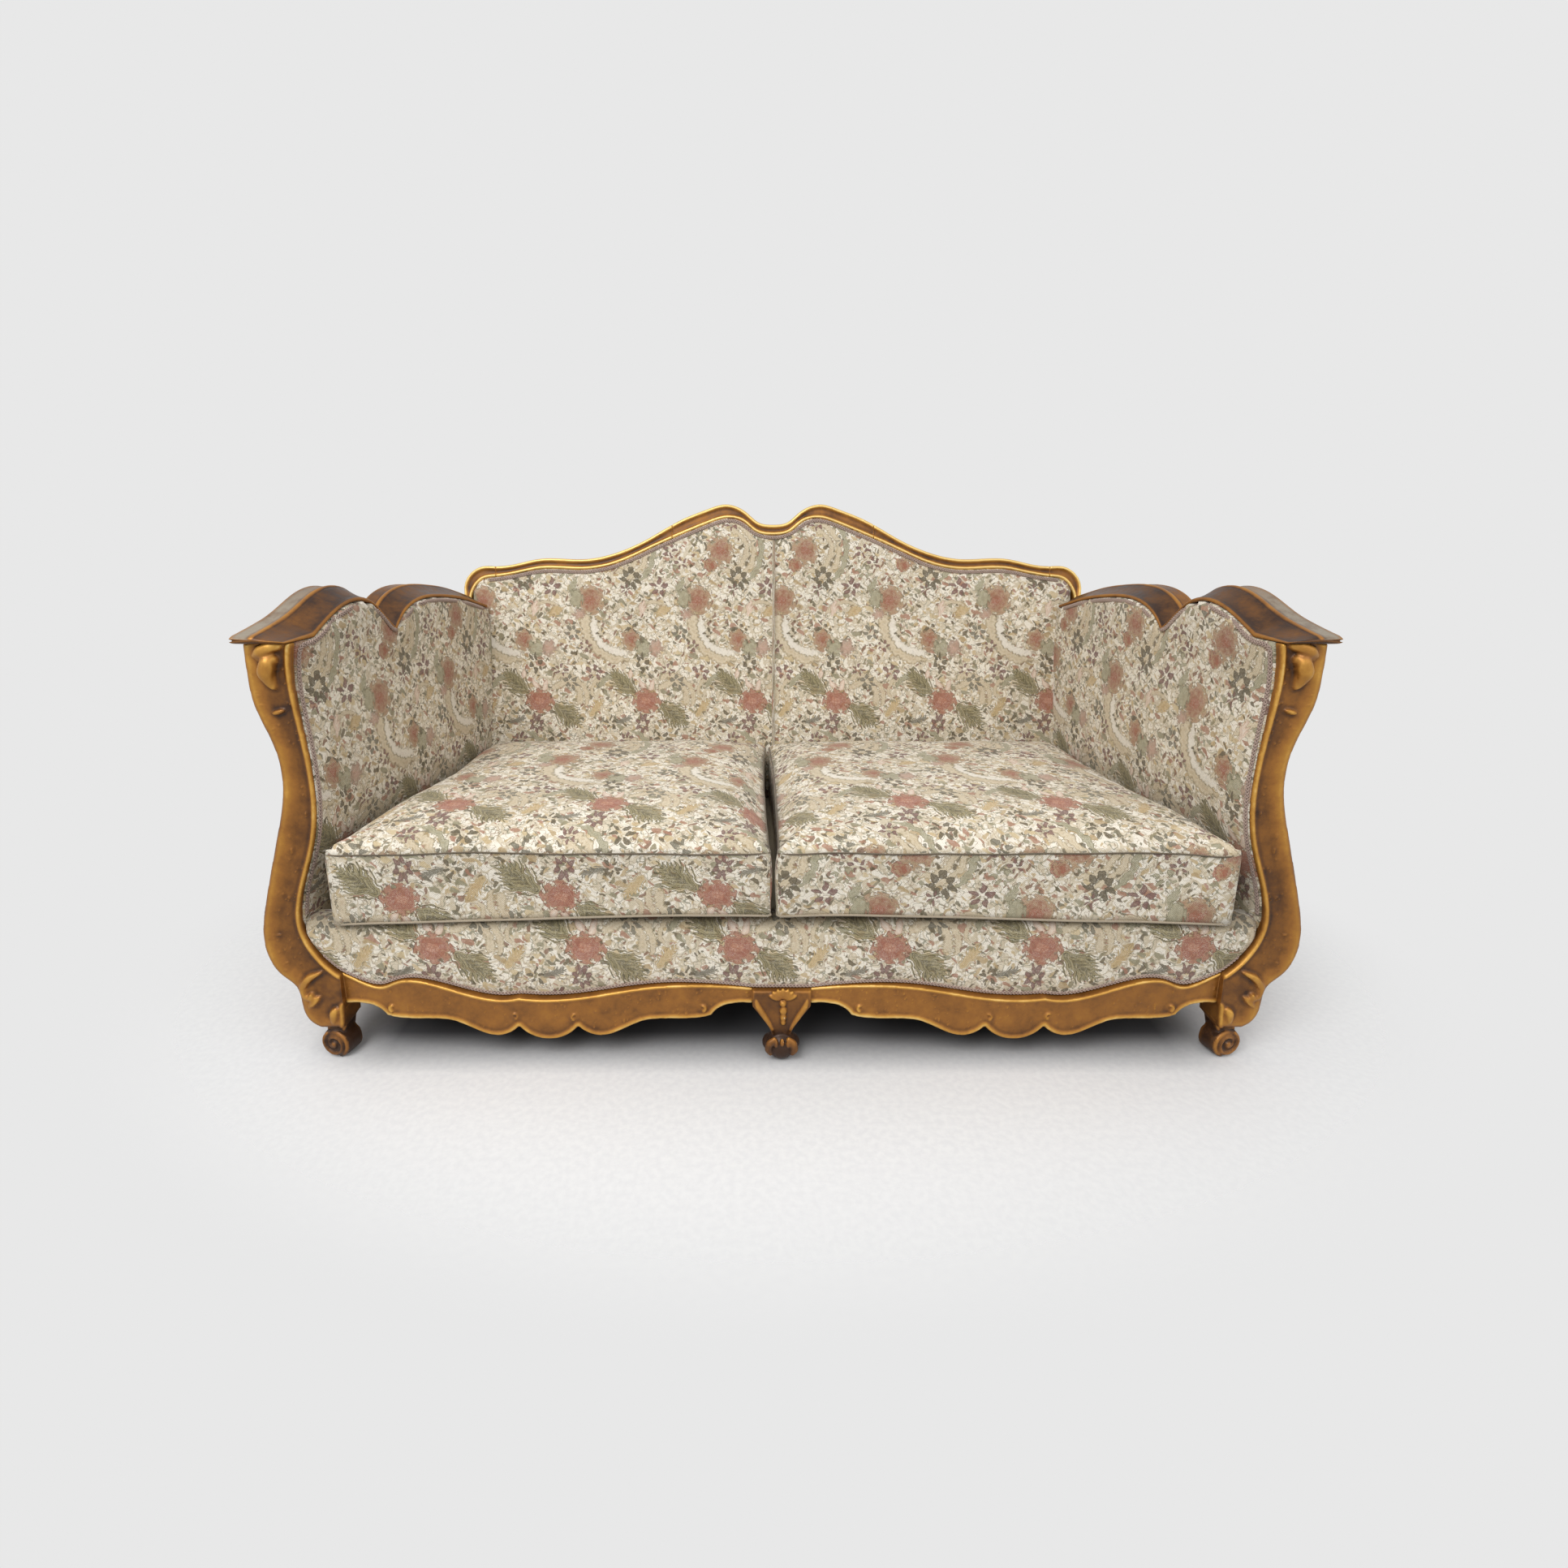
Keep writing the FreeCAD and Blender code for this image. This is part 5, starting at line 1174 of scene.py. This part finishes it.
# platform under the cushions
low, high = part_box("seat_deck")
gx, gy = np.meshgrid(np.linspace(-1, 1, 90), np.linspace(low[1] + 0.0005, high[1] - 0.0005, 44))
halfWide = np.array([hit("seat_deck", (1.2, y, high[2] - 0.01), (-1, 0, 0)).x for y in gy[:, 0]])
x = gx * (halfWide[:, None] - 0.0005)
z = np.full_like(x, high[2]) - 1.6 * mm * (1 - smoothstep(0, 0.03, fromEdges(np.stack([x, gy, 0 * x], -1))))
z -= 0.5 * mm * (0.5 + 0.5 * softNoise(x, gy, 1.0))
padSlab("seat_platform", "seat_deck", np.stack([x, gy, z], -1),
        np.stack([x, gy, np.full_like(x, low[2])], -1), np.stack([x, gy], -1), platformCloth)


# loose box cushions: filled by air pressure in a cloth simulation
cushionLook = {"cell": 0.0105, "side": 11, "pressure": 4.0, "frames": 20, "cap": 0.024, "crown": 0.030,
               "boxing": 0.126, "corner": 0.020, "lift": 0.014}


def sagged(a, b, depth, count):
    t = np.linspace(0, 1, count)[:, None]
    a, b = np.array(a), np.array(b)
    across = np.array([-(b - a)[1], (b - a)[0]]) / np.linalg.norm(b - a)
    return a + (b - a) * t + across * depth * 4 * t * (1 - t)


def cushionShape(s):
    node = "seat_cushion_" + sideNames[s]
    low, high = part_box(node)
    split, outer = (high[0], low[0]) if s < 0 else (low[0], high[0])
    near, far, bottom = low[1], high[1], low[2]
    farOuter = outer - s * armLean * (far - armFront)
    n = int(abs(outer - split) / cushionLook["cell"])
    m = int((far - near) / cushionLook["cell"])
    fill = 0.005                                       # starts a little smaller, then swells
    a, b = split + s * 0.003, outer - s * fill
    c = farOuter - s * fill
    nearY, farY = near + 0.006, far - fill
    frontEdge = sagged((a, nearY), (b, nearY), s * 0.006, n + 1)
    backEdge = sagged((a, farY), (c, farY), -s * 0.006, n + 1)
    inner = sagged((a, nearY), (a, farY), -s * 0.004, m + 1)
    outerEdge = sagged((b, nearY), (c, farY), s * 0.006, m + 1)
    u = np.linspace(0, 1, n + 1)[None, :, None]
    v = np.linspace(0, 1, m + 1)[:, None, None]
    corner = {(0, 0): frontEdge[0], (0, 1): frontEdge[-1], (1, 0): backEdge[0], (1, 1): backEdge[-1]}
    plan = (1 - v) * frontEdge[None] + v * backEdge[None] + (1 - u) * inner[:, None] + u * outerEdge[:, None]
    plan -= ((1 - v) * (1 - u) * corner[0, 0] + (1 - v) * u * corner[0, 1]
             + v * (1 - u) * corner[1, 0] + v * u * corner[1, 1])
    seam = bottom + cushionLook["boxing"]
    crown = cushionLook["crown"] * (1 - (2 * u[..., 0] - 1) ** 4) * (1 - (2 * v[..., 0] - 1) ** 4)
    top = np.concatenate([plan, (seam + crown)[..., None]], -1)
    base = np.concatenate([plan, np.full(plan.shape[:2] + (1,), bottom)], -1)
    return node, top, base, seam, bottom, (split, outer, near, far)


def swell(name, points, faces):
    # air pressure without gravity; after the last frame the swollen shape is read back
    mesh = bpy.data.meshes.new(name)
    mesh.from_pydata(points.tolist(), [], faces)
    holder = bpy.data.objects.new(name, mesh)
    bpy.context.scene.collection.objects.link(holder)
    holder.vertex_groups.new(name="pin").add(list(range(len(points))), 0.0, "REPLACE")     # nothing is pinned
    settings = holder.modifiers.new("air", "CLOTH").settings
    settings.quality = 5
    settings.mass = 0.35
    settings.use_pressure = True
    settings.uniform_pressure_force = cushionLook["pressure"]
    settings.effector_weights.gravity = 0
    settings.tension_stiffness = settings.compression_stiffness = 22
    settings.shear_stiffness = 8
    settings.bending_stiffness = 0.6
    settings.vertex_group_mass = "pin"
    scene = bpy.context.scene
    for number in range(1, cushionLook["frames"] + 1):
        scene.frame_set(number)
    graph = bpy.context.evaluated_depsgraph_get()
    moved = holder.evaluated_get(graph).data
    result = np.zeros(len(points) * 3)
    moved.vertices.foreach_get("co", result)
    scene.frame_set(1)
    bpy.data.objects.remove(holder)
    bpy.data.meshes.remove(mesh)
    return result.reshape(-1, 3)


# level directions from a middle
def outwards(points, middle):
    away = points - middle
    away[:, 2] = 0
    return away / np.linalg.norm(away, axis=1)[:, None]


def cushion(s):
    node, top, base, seam, bottom, (split, outer, near, far) = cushionShape(s)
    rows, cols = top.shape[:2]
    # the rim runs round the plan: front, outer side, back, inner side
    rim = [(0, j) for j in range(cols)] + [(i, cols - 1) for i in range(1, rows)]
    rim += [(rows - 1, j) for j in range(cols - 2, -1, -1)] + [(i, 0) for i in range(rows - 2, 0, -1)]
    count = rows * cols
    topRim = np.array([i * cols + j for i, j in rim])
    points = [top.reshape(-1, 3), base.reshape(-1, 3)]
    faces = gridFaces(rows, cols, flip=(s < 0)) + gridFaces(rows, cols, offset=count, flip=(s > 0))
    levels = cushionLook["side"]
    previous = topRim
    total = 2 * count
    wallRows = [topRim]
    for k in range(1, levels + 1):
        if k < levels:
            t = k / levels
            points.append(top.reshape(-1, 3)[topRim] * (1 - t) + base.reshape(-1, 3)[topRim] * t)
            current = np.arange(total, total + len(rim))
            total += len(rim)
        else:
            current = topRim + count
        for a in range(len(rim)):
            b = (a + 1) % len(rim)
            face = [previous[b], previous[a], current[a], current[b]]
            faces.append([int(v) for v in (face if s > 0 else face[::-1])])
        wallRows.append(current)
        previous = current
    points = np.concatenate(points)
    start = points.copy()
    step = swell(node + "_air", points, faces) - start
    gone = np.linalg.norm(step, axis=1)
    points = start + step * (np.minimum(gone, cushionLook["cap"]) / np.maximum(gone, 1e-9))[:, None]
    # the air draws the sides in; each side is let out again to where the cover was cut
    belt = np.array(wallRows[1:-1]).T
    sides = np.split(belt, [cols, cols + rows - 1, 2 * cols + rows - 2])
    give = [(start[side] - points[side]).mean((0, 1)) for side in sides]
    u = np.clip((start[:, 0] - split) / (outer - split), 0, 1)
    v = np.clip((start[:, 1] - near) / (far - near), 0, 1)
    points[:, 0] += (give[3][0] + s * 0.003) * (1 - u) + (give[1][0] + s * 0.003) * u
    points[:, 1] += (give[0][1] - 0.003) * (1 - v) + (give[2][1] + 0.003) * v
    print(node, "swells by up to", round(float(gone.max()) * 1000, 1), "mm")
    # it rests flat, and stays between the arm and the other cushion
    points[:, 2] = np.maximum(points[:, 2], bottom)
    points[:, 1] = np.clip(points[:, 1], near - 0.002, far)
    armSide = s * outer - armLean * np.maximum(points[:, 1] - armFront, 0)
    points[:, 0] = s * np.clip(s * points[:, 0], s * split + 0.0002, armSide)
    bend = cushionLook["corner"]
    for cornerX in (split, outer):
        a = bend - np.abs(points[:, 0] - cornerX)
        b = bend - np.abs(points[:, 1] - near)
        reach = np.hypot(a, b)
        cut = (a > 0) & (b > 0) & (reach > bend)
        inwards = 1 if cornerX < (split + outer) / 2 else -1
        points[cut, 0] = cornerX + inwards * (bend - (a * bend / np.maximum(reach, 1e-9))[cut])
        points[cut, 1] = near + bend - (b * bend / np.maximum(reach, 1e-9))[cut]
    waver = softNoise(points[:, 0] * 1.6, points[:, 1] * 1.6, 6.0 + s)
    points[:, 2] += 2.2 * mm * waver * smoothstep(bottom + 0.02, seam - 0.01, points[:, 2])
    points[:, 1] += 2.0 * mm * waver * smoothstep(near + 0.05, near, points[:, 1])
    grid = points[:count].reshape(rows, cols, 3)
    flat = points[count:2 * count].reshape(rows, cols, 3)
    flat[..., 2] = bottom + 0.4 * mm * (1 - np.exp(-fromEdges(flat) / 0.02))
    # hand creases and the pull of the seam
    edge = fromEdges(start[:count].reshape(rows, cols, 3))
    x, y = grid[..., 0], grid[..., 1]
    grid[..., 2] += 1.5 * mm * softNoise(x + 0.3 * s, y, 4.0) * smoothstep(0, 0.08, edge)
    grid[..., 2] += 0.7 * mm * np.sin(x * 190 + y * 150) * np.exp(-edge / 0.018) * (edge > 0.002)
    # the front lower edge lifts off the border towards the middle of the sofa
    lift = cushionLook["lift"] * smoothstep(0.62, 0.05, np.abs(points[:, 0] - split))
    lift *= smoothstep(-0.30, -0.42, points[:, 1]) * np.clip((seam - points[:, 2]) / (seam - bottom), 0, 1)
    points[:, 2] += lift
    return node, points, start, faces, wallRows, count, bottom, seam


# a thin tube that runs round a cushion along one row of its points
def cordRound(name, s, row, away, radius, sides, material):
    loop = row + away
    loop = np.concatenate([loop, loop[:1]])
    points, faces = tube(resampled(evened(loop, 3), 0.006), radius, sides)
    strip = np.arange(len(points)) * 0.001
    newPiece(name, points, faces, "cushion_" + sideNames[s], [material],
             uv=np.stack([strip, strip * 0.3], -1), marks={"paintedShade": np.zeros(len(points))})


def finishCushion(s):
    node, points, start, faces, wallRows, count, bottom, seam = cushion(s)
    # pattern coordinates: top and underside from above, the boxing along its own rim
    flat = start[:, :2] + ((0.21, 0.355) if s < 0 else (-0.078, 0.345))
    around = len(wallRows[0])
    lengths = np.cumsum(np.linalg.norm(np.diff(start[wallRows[0]], axis=0), axis=1))
    lengths = np.concatenate([[0], lengths, lengths[-1:] + cushionLook["cell"]])
    along = start[wallRows[0][0], 0] + s * lengths
    wallStart = len(faces) - around * (len(wallRows) - 1)
    drop = (seam - bottom) / (len(wallRows) - 1)
    uv = [flat[v] for face in faces[:wallStart] for v in face]
    for index in range(len(faces) - wallStart):
        k, a = divmod(index, around)
        upper, lower = seam - k * drop, seam - (k + 1) * drop
        quad = [(along[a + 1], upper), (along[a], upper), (along[a], lower), (along[a + 1], lower)]
        if s < 0:
            uv += [(0.045 - x, 0.378 - z) for x, z in quad[::-1]]
        else:
            uv += [(x - 0.147, z + 0.04) for x, z in quad]
    paintedShade = np.zeros(len(points))
    # painted shade along the top seam of the boxing
    paintedShade[wallRows[0]] = 0.75
    piece = newPiece(node + "_cover", points, faces, "cushion_" + sideNames[s], [tapestry],
                     marks={"paintedShade": paintedShade})
    layer = piece.data.uv_layers.new(name="cloth")
    layer.data.foreach_set("uv", np.array(uv, np.float32).ravel())
    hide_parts(node)
    lowEdge = points[wallRows[-1]]
    away = outwards(lowEdge, points[:count].mean(0))
    # welt along the bottom seam, its colour darkened as painted shade in the gap under it
    cordRound(node + "_welt", s, lowEdge, away * 0.5 * mm + (0, 0, 2.6 * mm), 2.1 * mm, 8, welting)
    # painted shadow: a dark cord along the top seam stands for the seam's shadow line
    cordRound(node + "_seam_shadow_cord", s, points[wallRows[0]], away * 0.6 * mm, 1.3 * mm, 6, seamShadowCord)
    print("cushion done:", node)


for s in (left, right):
    finishCushion(s)


# gimp: three flat strands plaited over the tacked edge of the cloth
gimpLook = {"half": 3.4 * mm, "strand": 1.55 * mm, "wave": 9.0 * mm, "step": 1.6 * mm}


def plait(name, node, path, normalOf):
    path = resampled(evened(path, 3), gimpLook["step"])
    along = np.gradient(path, axis=0)
    along /= np.linalg.norm(along, axis=1)[:, None]
    out = normalOf(path)
    out = out / np.linalg.norm(out, axis=1)[:, None]
    across = np.cross(along, out)
    lengths = np.concatenate([[0], np.cumsum(np.linalg.norm(np.diff(path, axis=0), axis=1))])
    strands = []
    for k in range(3):
        phase = lengths / gimpLook["wave"] * math.pi + k * 2 * math.pi / 3
        line = path + across * (gimpLook["half"] * np.sin(phase))[:, None]
        line = line + out * (0.9 * mm + 0.8 * mm * np.sin(2 * phase + 0.6))[:, None]
        strands.append(tube(line, gimpLook["strand"], 6, 0.8, up=(0.3, 0.5, 0.8)))
    points, faces = joined(strands)
    piece = newPiece(name, points, faces, "frame", [braidYarn], uv=points[:, [0, 2]],
                     marks={"paintedShade": np.zeros(len(points))})
    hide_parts(node)


def constant(vector):
    return lambda path: np.repeat(np.array([vector], float), len(path), 0)


# along the front border
along = np.stack([acrossFront, np.full_like(acrossFront, nearest - 1.5 * mm), bottoms], -1)
tangent = np.gradient(along, axis=0)
tangent /= np.linalg.norm(tangent, axis=1)[:, None]
upwards = np.stack([-tangent[:, 2], 0 * tangent[:, 0], tangent[:, 0]], -1)
line = along + upwards * 5.2 * mm
plait("gimp_front_plait", "gimp_seat_front", line[3:-3], constant((0, -1, 0.1)))
# under the crest
seen = np.abs(columns) < 0.712
tangent = np.gradient(crestLine, axis=0)
tangent /= np.linalg.norm(tangent, axis=1)[:, None]
downwards = np.cross(tangent, np.array(leanedFront))
downwards *= np.sign(-downwards[:, 2:3])
line = (crestLine + downwards * 5.5 * mm)[seen]
plait("gimp_back_plait", "gimp_back", line, constant(leanedFront))
# round each arm: up the front edge and along under the rail
for s in (left, right):
    flatFace, ys, spans = armGrids["inside_arm_pad_" + sideNames[s]]
    upright = [(x, ys[0] + 5.0 * mm, z) for x, _, z in flatFace[4:armLook["rows"] - 1, 0]]
    rim = np.stack([flatFace[-1, :, 0], ys, spans[:, 1]], -1)[:-2]
    slope = np.gradient(evened(rim, 4), axis=0)
    slope /= np.linalg.norm(slope[:, 1:], axis=1)[:, None]
    rim[:, 1] += 5.5 * mm * slope[:, 2]
    rim[:, 2] -= 5.5 * mm * slope[:, 1]
    level = [p for k, p in enumerate(rim) if k == 0 or p[1] > rim[:k, 1].max() + 2 * mm]
    path = np.array(upright + [tuple(p) for p in level[1:]])
    path[:, 0] -= s * 2.2 * mm
    plait("gimp_arm_plait_" + sideNames[s], "gimp_arm_" + sideNames[s], path, constant((-s, -0.1, 0)))
print("gimp done")


# under the seat
dustSheet = {"half": 0.745, "sag": 5.0 * mm, "thick": 0.7 * mm, "cutWidth": 1.42}
low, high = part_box("dust_cover")
gx, gy = np.meshgrid(np.linspace(-1, 1, 70), np.linspace(low[1] + 0.001, high[1] - 0.001, 30))
halfWide = dustSheet["half"] - armLean * (gy - low[1])
x = gx * halfWide
deep = (gy - (low[1] + high[1]) / 2) / (high[1] - low[1])
sag = dustSheet["sag"] * np.cos(gx * math.pi / 2) * np.cos(deep * math.pi)
z = high[2] - 0.0004 - sag
lower = np.stack([x, gy, z - dustSheet["thick"]], -1)
upper = np.stack([x, gy, z], -1)
points, faces = slab(upper, lower)
piece = newPiece("dust_sheet", points, faces, "frame", [cambric], uv=points[:, :2],
                 marks={"paintedShade": np.zeros(len(points))})
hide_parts("dust_cover")


# carried-over timber, steel and jute

def sawnBeech():
    # sawn and unpolished, long grain with short flecks
    material, tree = newMaterial("sawn_beech")
    place = add(tree, "TexCoord").outputs["Object"]
    grain = add(tree, "VectorMath", place, (4.0, 40.0, 40.0), operation="MULTIPLY")
    rings = add(tree, "TexNoise", grain, sockets={"Scale": 3.0, "Detail": 5.0, "Distortion": 0.6})
    flecks = add(tree, "TexNoise", grain, sockets={"Scale": 22.0, "Detail": 2.0})
    mixed = add(tree, "Math", rings, add(tree, "Math", flecks, 0.35, operation="MULTIPLY"), operation="ADD")
    tint = add(tree, "ValToRGB", mixed, stops=[(0.45, "#8E6B45"), (0.62, "#B08D62"), (0.8, "#C6A67C")])
    bump = add(tree, "Bump", sockets={"Strength": 0.4, "Distance": 0.0005, "Height": rings.outputs[0]})
    shader = add(tree, "BsdfPrincipled", sockets={"Base Color": tint, "Roughness": 0.72, "Normal": bump})
    add(tree, "OutputMaterial", shader)
    return material


def jute():
    # loosely spun bast fibre, plain woven
    material, tree = newMaterial("woven_jute")
    place = add(tree, "TexCoord").outputs["Object"]
    wave = add(tree, "VectorMath", place, (math.pi / (2.5 * mm),) * 3, operation="MULTIPLY")
    split = add(tree, "SeparateXYZ", wave)
    sines = [add(tree, "Math", split.outputs[k], operation="SINE") for k in range(3)]
    both = add(tree, "Math", sines[1], sines[2], operation="ADD")
    both = add(tree, "Math", sines[0], both, operation="MULTIPLY")
    fibre = add(tree, "TexNoise", place, sockets={"Scale": 300.0, "Detail": 3.0})
    level = add(tree, "Math", both, 0.15, fibre, operation="MULTIPLY_ADD")
    tint = add(tree, "ValToRGB", level, stops=[(0.3, "#7A6040"), (0.5, "#A3855A"), (0.7, "#BFA273")])
    bump = add(tree, "Bump", sockets={"Strength": 0.6, "Distance": 0.0008, "Height": level.outputs[0]})
    shader = add(tree, "BsdfPrincipled", sockets={"Base Color": tint, "Roughness": 0.92, "Normal": bump})
    add(tree, "OutputMaterial", shader)
    return material


def drawnSteel(name, tone, dark, rough):
    # drawn wire and turned screws, dulled by a thin oxide
    material, tree = newMaterial(name)
    place = add(tree, "TexCoord").outputs["Object"]
    oxide = add(tree, "TexNoise", place, sockets={"Scale": 160.0, "Detail": 4.0})
    tint = add(tree, "ValToRGB", oxide, stops=[(0.35, dark), (0.6, tone)])
    roughness = add(tree, "MapRange", oxide, 0.3, 0.7, rough + 0.18, rough)
    shader = add(tree, "BsdfPrincipled", sockets={
        "Base Color": tint, "Metallic": 1.0, "Roughness": roughness})
    add(tree, "OutputMaterial", shader)
    return material


beech = sawnBeech()
webbing = jute()
springWire = drawnSteel("coppered_spring_wire", "#A98A76", "#7A5A48", 0.32)
screwSteel = drawnSteel("zinc_plated_screw", "#B9BABB", "#8A8B8A", 0.30)
for s in (left, right):
    carve("back_post_" + sideNames[s], [], voxel=3.0)
special = {"seat_webbing": webbing, "back_webbing": webbing, "seat_springs": springWire,
           "corner_block_screws": screwSteel}
for node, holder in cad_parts.items():
    if not holder.hide_render:
        holder.data.materials.clear()
        holder.data.materials.append(special.get(node, beech))

ground = newPiece("studio_floor", [(-6, -6, 0), (6, -6, 0), (6, 6, 0), (-6, 6, 0)], [(0, 1, 2, 3)], body=None,
                  materials=[floorMaterial])

print("pieces placed")
